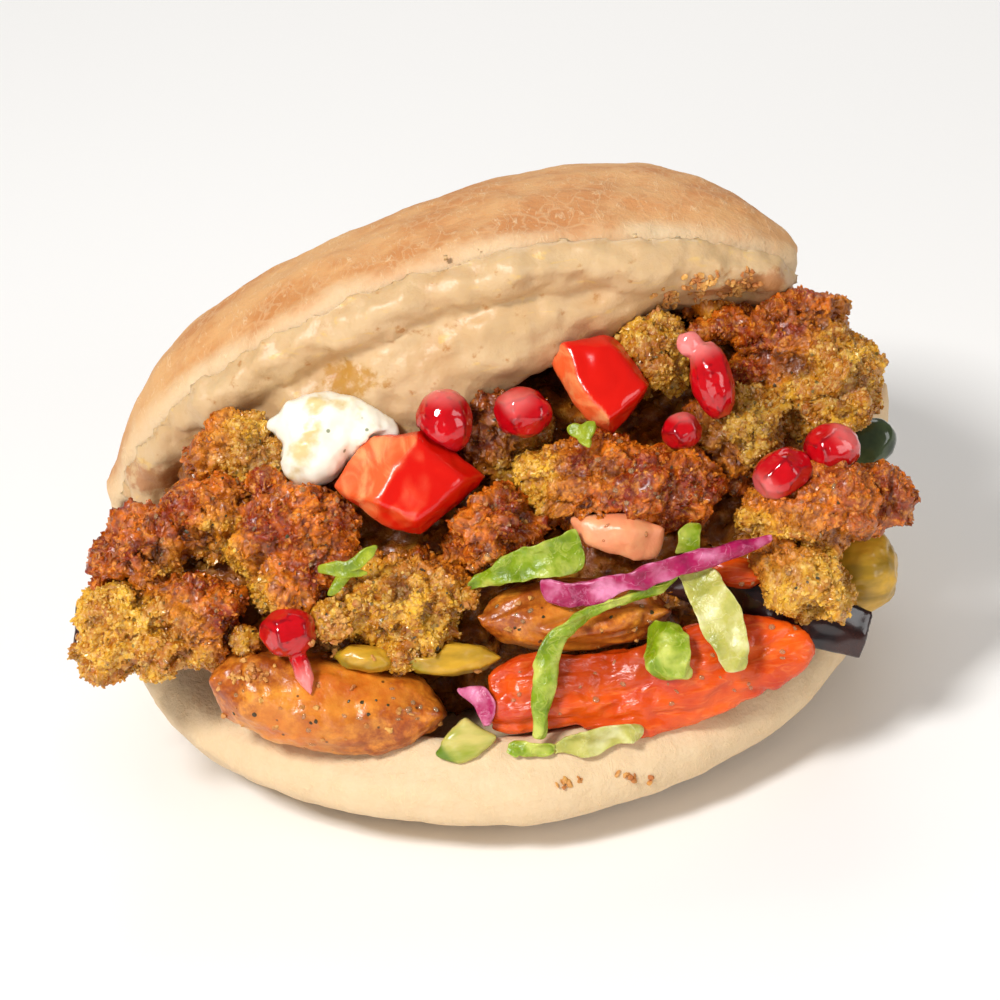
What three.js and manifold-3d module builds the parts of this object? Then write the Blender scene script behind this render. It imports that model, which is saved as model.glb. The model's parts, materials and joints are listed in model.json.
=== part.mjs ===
// A falafel sandwich: a thick round flatbread slit open round its front and stuffed, so that it gapes
// like a clam. Millimetres, +Z up. The origin is under the middle of the bread, on the surface that it
// rests on; the mouth faces -Y.
//
// The filling shows in the mouth, which leans back. A piece there is placed in the mouth's own axes:
// x across the mouth, y up its slope, and z straight out of it. Where two pieces would cross, the one
// laid later is cut back.
import * as THREE from "three";
import { ConvexGeometry } from "three/addons/geometries/ConvexGeometry.js";
import { mergeVertices } from "three/addons/utils/BufferGeometryUtils.js";
import Module from "manifold-3d";

const wasm = await Module();
wasm.setup();

// ---------------------------------------------------------------- driving dimensions
const BREAD_RADIUS = 69.5; // of the whole flatbread, seen from above
const BREAD_THICKNESS = 10; // of one layer, crust and crumb together
const MOUTH_LEAN = 60; // degrees that the mouth's slope is turned up from the table
const CONTACT_GAP = 0.32; // left between two pieces that touch
const LAYER_GAP = 0.75; // left under the bread by what is spread or packed against it
const LEAF_THICKNESS = 1; // of lettuce, cabbage and herbs
const EASING = 0.41; // that a surface may move by where its facets are merged

// ---------------------------------------------------------------- small tools
const degrees = (angle) => (angle * Math.PI) / 180;
const clamp = (value, low, high) => Math.min(high, Math.max(low, value));
const mix = (a, b, share) => a + (b - a) * share;
const vector = (x, y, z) => new THREE.Vector3(x, y, z);
const curveThrough = (points) => new THREE.CatmullRomCurve3(points.map((point) => vector(...point)));

// The height of a line drawn through [x, y] points, at a given x.
function heightAt(line, x) {
  const found = line.findIndex(([pointX]) => pointX > x);
  const next = found < 0 ? line.length - 1 : Math.max(found, 1);
  const [[x0, y0], [x1, y1]] = [line[next - 1], line[next]];
  return mix(y0, y1, clamp((x - x0) / (x1 - x0), 0, 1));
}

// A repeatable number from 0 to 1 for a point of a whole-number lattice.
function latticeValue(ix, iy, iz, seed) {
  let hash = Math.imul(ix, 374761393) + Math.imul(iy, 668265263) + Math.imul(iz, 2147483647);
  hash += seed * 974634777;
  hash = Math.imul(hash ^ (hash >>> 13), 1274126177);
  return ((hash ^ (hash >>> 16)) >>> 0) / 4294967295;
}

// Smooth noise from -1 to 1 at a point, with about one lump in each length of the given size.
function noise(point, size, seed) {
  const cell = [point.x / size, point.y / size, point.z / size];
  const [ix, iy, iz] = cell.map(Math.floor);
  const [fx, fy, fz] = cell.map((value) => THREE.MathUtils.smoothstep(value - Math.floor(value), 0, 1));
  const corner = (dx, dy, dz) => latticeValue(ix + dx, iy + dy, iz + dz, seed);
  const edge = (dy, dz) => mix(corner(0, dy, dz), corner(1, dy, dz), fx);
  const face = (dz) => mix(edge(0, dz), edge(1, dz), fy);
  return 2 * mix(face(0), face(1), fz) - 1;
}

// ---------------------------------------------------------------- shapes

// A closed solid through rings of points, with a flat fan over the first ring and over the last.
function skin(rings) {
  const count = rings[0].length;
  const middle = (ring) => ring.reduce((sum, point) => sum.add(point), vector(0, 0, 0)).divideScalar(count);
  const points = [...rings.flat(), middle(rings[0]), middle(rings.at(-1))];
  const [firstMiddle, lastMiddle] = [points.length - 2, points.length - 1];
  const last = (rings.length - 1) * count;
  const index = [];
  for (let i = 0; i < count; i++) {
    const next = (i + 1) % count;
    for (let start = 0; start < last; start += count) {
      const [a, b] = [start + i, start + next];
      index.push(a, b, b + count, a, b + count, a + count);
    }
    index.push(firstMiddle, next, i, lastMiddle, last + i, last + next);
  }
  return new THREE.BufferGeometry().setFromPoints(points).setIndex(index);
}

// A lump with the given half sizes. Each flat is a direction and how far out it lies: the lump is
// broken off there.
function lump({ radii, detail = 3, flats = [], rough = 0, grain = 7, seed = 1 }) {
  const ball = new THREE.IcosahedronGeometry(1, detail);
  ball.deleteAttribute("normal");
  ball.deleteAttribute("uv");
  const geometry = mergeVertices(ball);
  const position = geometry.getAttribute("position");
  const direction = vector(0, 0, 0);
  const sides = flats.map(([x, y, z, distance]) => ({ normal: vector(x, y, z).normalize(), distance }));
  for (let i = 0; i < position.count; i++) {
    direction.fromBufferAttribute(position, i).normalize();
    let reach = 1 / Math.hypot(direction.x / radii[0], direction.y / radii[1], direction.z / radii[2]);
    for (const { normal, distance } of sides) {
      const facing = direction.dot(normal);
      if (facing > 0.05) reach = Math.min(reach, distance / facing);
    }
    const spot = direction.clone().multiplyScalar(reach);
    reach += rough * (noise(spot, grain, seed) + 0.5 * noise(spot, grain / 2, seed + 7));
    direction.multiplyScalar(reach);
    position.setXYZ(i, direction.x, direction.y, direction.z);
  }
  return eased(geometry);
}

// A strip along a path. Each station says where it is, which way its width points, its half width,
// and how it cups. Its edges ripple by the ruffle, about once in each length of RUFFLE_LENGTH.
const RUFFLE_LENGTH = 7;

function strip({ stations, thickness, steps = 12, row = 3, ruffle = 0 }) {
  const place = curveThrough(stations.map(({ at }) => at));
  const width = curveThrough(stations.map(({ across }) => across));
  const size = curveThrough(stations.map(({ half, cup = 0 }) => [half, cup, 0]));
  const ripples = (place.getLength() / RUFFLE_LENGTH) * 2 * Math.PI;
  const rings = [];
  for (let step = 0; step <= steps; step++) {
    const share = step / steps;
    const centre = place.getPoint(share);
    const across = width.getPoint(share).normalize();
    const face = vector(0, 0, 0).crossVectors(place.getTangent(share), across).normalize();
    const { x: half, y: cup } = size.getPoint(share);
    // Both faces have the same row of points, so that their triangles match.
    const point = (k, side) => {
      const offset = (k / (row - 1)) * 2 - 1;
      const thinning = Math.abs(offset) > 0.99 ? 0.6 : 1;
      const ripple = ruffle * offset * Math.sin(share * ripples + 2 * offset);
      const rise = side * (thickness / 2) * thinning + cup * (offset * offset - 0.5) + ripple;
      return centre.clone().addScaledVector(across, offset * half).addScaledVector(face, rise);
    };
    const order = Array.from({ length: row }, (_, k) => k);
    rings.push([...order.map((k) => point(k, -1)), ...order.reverse().map((k) => point(k, 1))]);
  }
  return skin(rings);
}

// A chunk with flat sides between its corners, whose edges are a little rounded.
function chunk(corners, rounding) {
  const tips = [-rounding, rounding].flatMap((r) => [vector(r, 0, 0), vector(0, r, 0), vector(0, 0, r)]);
  const roundedOff = (corner) => tips.map((tip) => tip.clone().add(vector(...corner)));
  return new ConvexGeometry(corners.flatMap(roundedOff));
}

// A thin leaf with round lobes, which cups towards its edge.
function lobedLeaf({ radius, lobes, cup }) {
  const outline = new THREE.Shape();
  const count = lobes * 4;
  for (let i = 0; i < count; i++) {
    const angle = (i / count) * 2 * Math.PI;
    const reach = radius * (0.72 + 0.28 * Math.cos(lobes * angle));
    outline[i === 0 ? "moveTo" : "lineTo"](reach * Math.cos(angle), reach * Math.sin(angle));
  }
  const geometry = new THREE.ExtrudeGeometry(outline, { depth: LEAF_THICKNESS, bevelEnabled: false });
  const position = geometry.getAttribute("position");
  for (let i = 0; i < position.count; i++) {
    const [x, y] = [position.getX(i), position.getY(i)];
    position.setZ(i, position.getZ(i) + (cup * (x * x + y * y)) / radius ** 2);
  }
  geometry.deleteAttribute("normal");
  geometry.deleteAttribute("uv");
  return geometry;
}

// ---------------------------------------------------------------- solids

function toSolid(geometry, matrix = new THREE.Matrix4()) {
  const bare = new THREE.BufferGeometry().setAttribute("position", geometry.getAttribute("position").clone());
  if (geometry.index) bare.setIndex(geometry.index.clone());
  const merged = mergeVertices(bare.applyMatrix4(matrix), 1e-4);
  const mesh = {
    numProp: 3,
    vertProperties: new Float32Array(merged.getAttribute("position").array),
    triVerts: new Uint32Array(merged.index.array),
  };
  return new wasm.Manifold(new wasm.Mesh(mesh));
}

function toGeometry(solid) {
  const { numProp, numVert, vertProperties, triVerts } = solid.getMesh();
  const position = new Float32Array(numVert * 3);
  for (let i = 0; i < numVert; i++) {
    position.set(vertProperties.subarray(i * numProp, i * numProp + 3), i * 3);
  }
  const geometry = new THREE.BufferGeometry();
  geometry.setAttribute("position", new THREE.BufferAttribute(position, 3));
  return geometry.setIndex(new THREE.BufferAttribute(new Uint32Array(triVerts), 1));
}

// The same shape with fewer facets where it is nearly flat.
const eased = (geometry) => toGeometry(toSolid(geometry).simplify(EASING));

const largestBody = (solid) => solid.decompose().sort((a, b) => b.volume() - a.volume())[0];

// One geometry for shapes that have grown into each other, each with its own place.
function joined(shapes) {
  const solids = shapes.map(({ shape, at, turn = 0 }) => {
    const matrix = new THREE.Matrix4().makeRotationZ(degrees(turn)).setPosition(...at);
    return toSolid(shape, matrix);
  });
  return toGeometry(largestBody(solids.reduce((sum, solid) => sum.add(solid))));
}

// The solid that neighbours are cut back by: the same shape with its surface moved out.
function withClearance(geometry, matrix) {
  const solid = toSolid(geometry, matrix);
  const grown = toGeometry(solid);
  grown.computeVertexNormals();
  const position = grown.getAttribute("position");
  const normal = grown.getAttribute("normal");
  const [point, out] = [vector(0, 0, 0), vector(0, 0, 0)];
  for (let i = 0; i < position.count; i++) {
    point.fromBufferAttribute(position, i).addScaledVector(out.fromBufferAttribute(normal, i), CONTACT_GAP);
    position.setXYZ(i, point.x, point.y, point.z);
  }
  return toSolid(grown).add(solid);
}

function boxesMeet(a, b) {
  return [0, 1, 2].every((axis) => a.min[axis] < b.max[axis] && b.min[axis] < a.max[axis]);
}

// ---------------------------------------------------------------- the sandwich and its mouth

const sandwich = new THREE.Group();
const mouth = new THREE.Group();
mouth.rotation.x = degrees(MOUTH_LEAN);
sandwich.add(mouth);
const pieces = []; // in the order that they are laid, which is the order in which they keep their shape

const finish = (color, roughness) => new THREE.MeshStandardMaterial({ color, roughness, metalness: 0 });

function lay(name, geometry, material, { at = [0, 0, 0], turn = 0, tip = 0, roll = 0, into = mouth } = {}) {
  const mesh = new THREE.Mesh(geometry, material.clone());
  mesh.name = name;
  mesh.position.set(...at);
  mesh.rotation.set(degrees(tip), degrees(roll), degrees(turn), "ZYX");
  into.add(mesh);
  pieces.push(mesh);
}

// Each piece gives way to all that were laid before it, and keeps its largest body.
function cutBack() {
  sandwich.updateMatrixWorld(true);
  const laid = [];
  for (const mesh of pieces) {
    const clearance = withClearance(mesh.geometry, mesh.matrixWorld);
    const box = clearance.boundingBox();
    let solid = toSolid(mesh.geometry, mesh.matrixWorld);
    const cutters = laid.filter((earlier) => boxesMeet(earlier.box, box));
    for (const cutter of cutters) solid = solid.subtract(cutter.clearance);
    if (cutters.length > 0) solid = largestBody(solid).simplify(CONTACT_GAP * 0.44);
    mesh.geometry = toGeometry(solid).applyMatrix4(mesh.matrixWorld.clone().invert());
    laid.push({ clearance, box });
  }
}

// ---------------------------------------------------------------- the bread
// One curve for each slice across the bread runs in the middle of its thickness: from the lower lip,
// under the filling, round the back and over the top to the upper lip.

const SLICES = 18;
const STEPS = 18; // along each slice
const END_ANGLE = 80; // degrees round the disc from the middle to the last slice at either side
const HALF_LAYER = BREAD_THICKNESS / 2;
const LIP_ROUNDING = 3; // that a lip's cut edge bulges past the end of its slice
const LOWER_CRUMB = [
  [0, 5],
  [1, 4.6],
  [4, 0],
]; // extra thickness of soft crumb inside the lower lip, at steps along a slice
const CHEEK_BULGE = 7.5; // that the right side swells past the disc
const END_ROUNDING = [
  [0.76, 2.8],
  [0.34, 4.4],
]; // share of the last slice's thickness that is left, and how far past that slice

// The middle of the upper lip and of the crown's ridge, from left to right. The right side gapes wider.
const upperLip = curveThrough([
  [-62, 2, 43],
  [-57, -3, 55],
  [-44, -9, 68.4],
  [-20, -14, 81.6],
  [8, -15, 88],
  [33, -13, 85],
  [48, -9, 80],
  [56, -5, 72],
]);
const crownRidge = curveThrough([
  [-62, 8, 44],
  [-56, 14, 54],
  [-44, 21, 63.6],
  [-22, 26, 71.4],
  [6, 28, 78.5],
  [32, 26, 79.6],
  [46, 18, 76.5],
  [56, 8, 69],
]);

function sliceCurve(angle) {
  const side = Math.sin(degrees(angle));
  const reach = Math.cos(degrees(angle));
  const radius = BREAD_RADIUS - HALF_LAYER;
  const x = radius * side;
  const bulge = CHEEK_BULGE * Math.max(side, 0) ** 8;
  const floor = HALF_LAYER - 0.4 + 15 * (1 - reach) ** 1.5;
  const front = -radius * reach * (0.975 - 0.07 * Math.max(-side, 0));
  const share = (side / Math.sin(degrees(END_ANGLE)) + 1) / 2;
  const lip = upperLip.getPoint(share);
  const ridge = crownRidge.getPoint(share);
  const back = radius * reach + 2;
  const backHeight = mix(floor + 14, ridge.z * 0.55, 0.35);
  return new THREE.CatmullRomCurve3([
    vector(x, front, floor + 8.5),
    vector(x * 0.985, front * 0.83, floor + 2),
    vector(x * 0.975, front * 0.5, floor),
    vector(x * 0.975, radius * 0.4 * reach, floor),
    vector(x * 0.99, back * 0.86, floor + 3.5),
    vector(x * 1.01 + bulge * 0.7, back, backHeight),
    vector(mix(x, ridge.x, 0.3) + bulge, mix(back, ridge.y, 0.2), mix(backHeight, ridge.z, 0.52)),
    ridge,
    vector(mix(ridge.x, lip.x, 0.55), mix(ridge.y, lip.y, 0.55), mix(ridge.z, lip.z, 0.55) + 3.5 * reach),
    lip,
  ]);
}

const sliceAngles = Array.from({ length: SLICES + 1 }, (_, i) => mix(-END_ANGLE, END_ANGLE, i / SLICES));
const sliceLines = sliceAngles.map((angle) => sliceCurve(angle).getSpacedPoints(STEPS));
const slices = sliceLines.map((line, i) => {
  const [before, after] = [sliceLines[Math.max(i - 1, 0)], sliceLines[Math.min(i + 1, SLICES)]];
  const out = line.map((_, j) => {
    const forward = line[Math.min(j + 1, STEPS)].clone().sub(line[Math.max(j - 1, 0)]);
    return forward.cross(after[j].clone().sub(before[j])).normalize();
  });
  return { line, out };
});

// One point past the end of a slice's line, which rounds the cut edge of a lip.
const pastEnd = (line, end, next, distance) =>
  line[end].clone().addScaledVector(line[end].clone().sub(line[next]).normalize(), distance);

// From the middle of a layer to the surface that the filling lies against.
const innerReach = (step) => HALF_LAYER + heightAt(LOWER_CRUMB, step);

function breadShape() {
  const rings = slices.map(({ line, out }) => {
    const outer = line.map((point, j) => {
      const unevenness = 0.8 * noise(point, 17, 3);
      return point.clone().addScaledVector(out[j], HALF_LAYER + unevenness);
    });
    const inner = line.map((point, j) => point.clone().addScaledVector(out[j], -innerReach(j)));
    const upperEdge = pastEnd(line, STEPS, STEPS - 1, LIP_ROUNDING);
    const lowerEdge = pastEnd(line, 0, 1, LIP_ROUNDING);
    return [...outer, upperEdge, ...inner.reverse(), lowerEdge];
  });
  // At both ends of the slit, where the two layers are still joined, the bread is rounded off.
  const closed = (ring, line, share, x) =>
    ring.map((point, k) => {
      const j = k <= STEPS ? k : clamp(2 * STEPS + 2 - k, 0, STEPS);
      return line[j].clone().lerp(point, share).add(vector(x, 0, 0));
    });
  const [leftEnd, rightEnd] = [rings[0], rings.at(-1)];
  for (const [share, x] of END_ROUNDING) {
    rings.unshift(closed(leftEnd, slices[0].line, share, -x));
    rings.push(closed(rightEnd, slices[SLICES].line, share, x));
  }
  for (const point of rings.flat()) {
    if (point.z < 0.6) point.z = 0; // it sits flat
  }
  return skin(rings);
}

// The slit runs on round the right side to a round end, so that the upper layer's end stands free of
// the wall there.
function slitShape() {
  const [inside, outside] = [53, 90];
  const across = (y, low, high, lowFall, highRise) => [
    vector(inside, y, low),
    vector(inside, y, high),
    vector(outside, y, low - lowFall),
    vector(outside, y, high + highRise),
  ];
  const roundEnd = [-90, -60, -30, 0, 30, 60, 90].map(degrees).flatMap((angle) => [
    vector(inside, 22 + 8 * Math.cos(angle), 55.5 + 7.5 * Math.sin(angle)),
    vector(outside, 22 + 8 * Math.cos(angle), 52 + 7.5 * Math.sin(angle)),
  ]);
  return new ConvexGeometry([...across(-26, 22, 64, 4, 80), ...across(-6, 36, 66, 4, 80), ...roundEnd]);
}

const bread = toGeometry(toSolid(eased(breadShape())).subtract(toSolid(slitShape())));
lay("pita", bread, finish("#dcb98c", 0.75), { into: sandwich });

// ---------------------------------------------------------------- what lies deepest in the mouth
// Fried eggplant strips with their dark skin out, and a pickled pepper against the right side wall.

const eggplant = finish("#2a161f", 0.25);
const EGGPLANT_THICKNESS = 4.5;

const eggplantLeft = strip({
  thickness: EGGPLANT_THICKNESS,
  stations: [
    { at: [-73.5, 16.6, 45], across: [0.1, 1, 0], half: 4.6 },
    { at: [-62, 15.2, 44], across: [0, 1, 0.1], half: 5 },
    { at: [-50, 15, 44], across: [0, 1, 0.2], half: 5.4 },
    { at: [-36, 14, 46], across: [0, 1, 0.2], half: 5 },
  ],
});
lay("eggplant_left", eggplantLeft, eggplant);

const eggplantRight = strip({
  thickness: EGGPLANT_THICKNESS,
  stations: [
    { at: [30, 14.5, 50], across: [0.5, 0.9, 0], half: 4.6 },
    { at: [41, 9, 52.5], across: [0.5, 0.9, 0.1], half: 4.9 },
    { at: [51, 3.6, 54], across: [0.45, 0.9, 0.1], half: 4.7 },
    { at: [60.6, -0.8, 53], across: [0.4, 0.92, 0], half: 4.3 },
  ],
});
lay("eggplant_right", eggplantRight, eggplant);

const zucchini = lump({ radii: [6, 4.6, 3], flats: [[0, 0, 1, 2.2]], detail: 2 });
lay("zucchini_right", zucchini, finish("#2d3a26", 0.3), { at: [66, 31, 38], turn: 35 });

const pickle = finish("#a08d2c", 0.35);
const pepper = lump({ radii: [6.6, 8, 6], detail: 2, rough: 0.5, grain: 9, seed: 31 });
lay("pickle_right", pepper, pickle, { at: [61.5, 10.4, 46], turn: -8 });

// ---------------------------------------------------------------- the stuffing behind what shows
// Mashed falafel and fried vegetables, packed into the pocket from the back to just behind the mouth.

// How far out of the mouth it comes, at a height up the mouth's slope.
const STUFFING_FACE = [
  [-24, 56],
  [-8, 54],
  [15, 51],
  [35, 46],
  [52, 37],
  [70, 28],
];

const SIDE_FILL = 6; // how much further out it comes at both sides, where less lies in front of it

function stuffingShape() {
  const [first, last] = [2, STEPS - 4]; // steps of a slice between which it lies against the bread
  const faceRows = 6;
  const slope = vector(0, Math.cos(degrees(MOUTH_LEAN)), Math.sin(degrees(MOUTH_LEAN)));
  const outward = vector(0, -slope.z, slope.y);
  const rings = slices.slice(1, -1).map(({ line, out }) => {
    const against = [];
    for (let j = first; j <= last; j += 3) {
      against.push(line[j].clone().addScaledVector(out[j], -innerReach(j) - LAYER_GAP));
    }
    const [bottom, top] = [against[0], against.at(-1)];
    const face = [];
    for (let row = 1; row < faceRows; row++) {
      const point = top.clone().lerp(bottom, row / faceRows);
      const sideways = Math.abs(point.x) / BREAD_RADIUS;
      const unevenness = 1.6 * noise(point, 9, 21);
      const wanted = heightAt(STUFFING_FACE, point.dot(slope)) + SIDE_FILL * sideways ** 4 + unevenness;
      const sideFade = 1 - sideways ** 14;
      face.push(point.addScaledVector(outward, (wanted - point.dot(outward)) * sideFade));
    }
    return [...against, ...face];
  });
  return eased(skin(rings));
}

lay("stuffing", stuffingShape(), finish("#5a3217", 0.6), { into: sandwich });

// ---------------------------------------------------------------- the hummus
// Spread thickly on the inside of the upper layer. It covers the lip's cut edge, creases, and hangs
// in the mouth.

// How far it hangs below the lip's inner corner, up the mouth's slope, from left to right.
const HUMMUS_HANG = [
  [-62, 2],
  [-50, 7],
  [-40, 11],
  [-30, 18],
  [-20, 22],
  [-10, 21],
  [0, 18],
  [6, 15],
  [14, 12],
  [22, 10],
  [29, 8.5],
  [33, 4.5],
  [44, 3],
  [58, 2],
];

function hummusShape() {
  const [hang, out, back] = [vector(0, -0.5, -0.866), vector(0, -0.866, 0.5), vector(0, 0.866, -0.5)];
  const rings = slices.slice(1, -1).map(({ line, out: outs }, i) => {
    const lip = line[STEPS];
    const crown = outs[STEPS];
    const fall = heightAt(HUMMUS_HANG, lip.x);
    const proud = (distance) => {
      const unevenness = 0.7 * noise(vector(lip.x, distance, i), 8, 61);
      return pastEnd(line, STEPS, STEPS - 1, distance + unevenness);
    };
    const under = (j) => line[j].clone().addScaledVector(outs[j], -HALF_LAYER - LAYER_GAP);
    const inner = under(STEPS);
    return [
      proud(1.3).addScaledVector(crown, HALF_LAYER - 0.1),
      proud(4).addScaledVector(crown, HALF_LAYER - 1.4),
      proud(6.6).addScaledVector(crown, 1.4),
      proud(6).addScaledVector(crown, -2.2),
      proud(3.7).addScaledVector(crown, -HALF_LAYER),
      inner.clone().addScaledVector(out, 4.6 + noise(lip, 9, 62)).addScaledVector(hang, fall * 0.34),
      inner.clone().addScaledVector(out, 1.7 + noise(lip, 11, 63)).addScaledVector(hang, fall * 0.74),
      inner.clone().addScaledVector(back, 3).addScaledVector(hang, fall),
      inner.clone().addScaledVector(back, 12).addScaledVector(hang, fall * 0.9),
      inner.clone().addScaledVector(back, 24).addScaledVector(hang, fall * 0.3),
      under(STEPS - 4),
      under(STEPS - 2),
      inner,
      pastEnd(line, STEPS, STEPS - 1, LIP_ROUNDING + LAYER_GAP),
    ];
  });
  return eased(skin(rings));
}

lay("hummus", hummusShape(), finish("#ead3a9", 0.45), { into: sandwich });

// ---------------------------------------------------------------- tomato
// Rough dice, each with glossy skin on its front and wet flesh on its cut sides.

const tomato = finish("#dd2a17", 0.2);
const CORNER_ROUNDING = 0.7;

const tomatoLeft = chunk(
  [
    [-19, 42.4, 55],
    [-10, 42.6, 57],
    [-0.4, 33.8, 56.5],
    [-12.2, 25.4, 57.5],
    [-17, 26.8, 58.5],
    [-26, 35.4, 56],
    [-10.6, 41.4, 62],
    [-4, 33.8, 62],
    [-12.4, 27.6, 63],
    [-19.5, 32, 63.2],
    [-16, 37, 51],
    [-7, 33, 51],
  ],
  CORNER_ROUNDING,
);
lay("tomato_left", tomatoLeft, tomato);

const tomatoTop = chunk(
  [
    [13.4, 55.4, 53],
    [22.8, 56, 51],
    [29.4, 46, 52.5],
    [21.8, 38.4, 55],
    [18, 41, 56],
    [12.4, 53.8, 51],
    [16, 54, 57.5],
    [23, 53.6, 57],
    [28.4, 45.4, 58],
    [21.6, 40.6, 60],
    [17.6, 46.8, 59.6],
    [20, 52, 47],
    [25, 46, 47],
  ],
  CORNER_ROUNDING,
);
lay("tomato_top", tomatoTop, tomato);

const tomatoFlesh = chunk(
  [
    [13.2, 25, 60],
    [23, 24.2, 61],
    [28.6, 21.6, 60],
    [26.4, 16.8, 60],
    [22.4, 16.8, 62],
    [14.6, 21, 61],
    [22, 22.4, 63.6],
    [15, 24, 54],
    [27, 20, 54],
  ],
  CORNER_ROUNDING,
);
lay("tomato_flesh", tomatoFlesh, finish("#ee7a55", 0.25));

// ---------------------------------------------------------------- parsley

const parsley = finish("#3f8a2c", 0.5);
const leaflet = (from, middle, to, half) =>
  strip({
    thickness: LEAF_THICKNESS,
    steps: 4,
    row: 3,
    stations: [
      { at: from, across: [0.2, 1, 0.2], half: half * 0.5 },
      { at: middle, across: [0.2, 1, -0.2], half, cup: 0.5 },
      { at: to, across: [0.3, 1, 0], half: half * 0.3 },
    ],
  });
const sprig = joined([
  { shape: leaflet([-4.6, 0.6, 0], [0, 0.2, 0.8], [3.6, -0.6, 0.2], 1.5), at: [0, 0, 0] },
  { shape: leaflet([-0.2, 0.4, 0.6], [2.8, 1.8, 1], [5.6, 3.2, 0.2], 1.6), at: [0, 0, 0] },
  { shape: leaflet([1, 0, 0.4], [-1.6, -1.8, 0.8], [-3.8, -3.4, 0], 1.6), at: [0, 0, 0] },
]);
lay("parsley_left", sprig, parsley, { at: [-24.9, 21, 63.8] });
const smallSprig = lobedLeaf({ radius: 2.9, lobes: 3, cup: 0.6 });
lay("parsley_top", smallSprig, parsley, { at: [17.4, 38.7, 61.6], turn: 30, tip: -35 });

// ---------------------------------------------------------------- red cabbage and lettuce shreds

const cabbage = finish("#a01f86", 0.3);
const cabbageLong = strip({
  thickness: 1.9,
  steps: 14,
  stations: [
    { at: [6.8, 14, 62], across: [-0.3, 1, 0.3], half: 1.6, cup: 0.2 },
    { at: [13, 12.6, 65], across: [0, 1, 0.5], half: 2.5, cup: 1.2 },
    { at: [21, 13.8, 66], across: [-0.2, 1, 0.4], half: 2.3, cup: 1 },
    { at: [30, 15, 65], across: [0, 1, 0.3], half: 1.8, cup: 0.6 },
    { at: [38, 16.2, 63.5], across: [-0.2, 1, 0.1], half: 1.4 },
    { at: [45.6, 18.2, 61.5], across: [-0.3, 1, 0], half: 0.7 },
  ],
});
lay("cabbage_long", cabbageLong, cabbage);

const cabbageShort = strip({
  thickness: 1.9,
  steps: 6,
  stations: [
    { at: [-7, -0.4, 60.5], across: [1, 0.1, 0.3], half: 2.6, cup: 0.3 },
    { at: [-5.2, -3.6, 62], across: [1, 0.1, 0.2], half: 1.8, cup: 0.3 },
    { at: [-5.4, -7.4, 61.6], across: [1, 0, 0], half: 0.8 },
  ],
});
lay("cabbage_short", cabbageShort, cabbage);

const lettuce = finish("#8fbf2e", 0.35);
const lettuceRib = finish("#c5cf96", 0.3);
const shreds = {
  lettuce_point: [
    { at: [-6, 16.6, 60], across: [0, 1, 0.2], half: 0.7 },
    { at: [0.5, 17.6, 62.4], across: [-0.1, 1, 0.2], half: 2, cup: 0.5 },
    { at: [8, 18.6, 63.4], across: [-0.1, 1, -0.1], half: 3.4, cup: 1.2 },
    { at: [14, 19.8, 62.2], across: [0, 1, 0], half: 3.6, cup: 0.8 },
  ],
  lettuce_ribbon: [
    { at: [29.5, 12.7, 63], across: [-0.2, 0.9, 0.5], half: 0.9 },
    { at: [20, 10.6, 65], across: [-0.4, 0.7, 0.7], half: 1.3 },
    { at: [11, 8, 66.2], across: [-0.7, 0.5, 0.5], half: 1.6 },
    { at: [6.4, 3, 66.4], across: [-1, 0.3, 0.2], half: 2.1, cup: 0.7 },
    { at: [5.2, -3, 65.8], across: [-1, 0.1, 0], half: 2.3, cup: 0.9 },
    { at: [3, -10.4, 63.6], across: [-1, 0.3, 0.2], half: 0.8 },
  ],
  lettuce_rib: [
    { at: [32.6, 13.6, 62], across: [1, 0.2, 0.2], half: 3, cup: 0.5 },
    { at: [34.6, 8, 65], across: [1, 0.3, 0.2], half: 3.7, cup: 1.3 },
    { at: [36.6, 1.6, 66], across: [1, 0.2, 0], half: 3.3, cup: 1 },
    { at: [37.4, -3.6, 65.2], across: [1, 0, -0.2], half: 1.9 },
  ],
  lettuce_curl: [
    { at: [25, 5.6, 62.4], across: [1, 0.3, 0.3], half: 2.6, cup: -0.9 },
    { at: [26.2, 1, 66], across: [1, 0.1, 0.2], half: 4, cup: -1.8 },
    { at: [27.4, -4, 65.2], across: [1, 0, 0], half: 2.6, cup: -1.2 },
  ],
  lettuce_upper: [
    { at: [31, 16.8, 60.4], across: [1, -0.2, 0.2], half: 2, cup: 0.3 },
    { at: [32.4, 19.6, 60.6], across: [1, -0.1, 0], half: 2, cup: 0.3 },
    { at: [33.8, 22, 59], across: [1, -0.2, 0], half: 0.9 },
  ],
  lettuce_low_left: [
    { at: [-2.4, -11.4, 61.4], across: [0.2, 1, 0.3], half: 1 },
    { at: [1.6, -12.4, 63], across: [0.1, 1, 0.4], half: 1.9, cup: 0.3 },
    { at: [5.4, -13.6, 62.4], across: [0.2, 1, 0.3], half: 0.8 },
  ],
  lettuce_low_middle: [
    { at: [3.6, -13.6, 61], across: [0.2, 1, 0.5], half: 1.6, cup: 0.3 },
    { at: [10, -12.2, 63.4], across: [0, 1, 0.6], half: 2.8, cup: 1 },
    { at: [17, -11.6, 62.6], across: [0, 1, 0.4], half: 2, cup: 0.8 },
    { at: [20.6, -12, 61.6], across: [0, 1, 0.2], half: 0.9 },
  ],
};
const PALE_SHREDS = ["lettuce_rib", "lettuce_low_middle"];
for (const [name, stations] of Object.entries(shreds)) {
  const steps = stations.length * 2;
  const shred = strip({ stations, thickness: LEAF_THICKNESS, steps, row: 4, ruffle: 0.7 });
  lay(name, shred, PALE_SHREDS.includes(name) ? lettuceRib : lettuce);
}

// ---------------------------------------------------------------- the garlic sauce
// A thick white dollop that has run from the upper lip down onto the filling.

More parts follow.
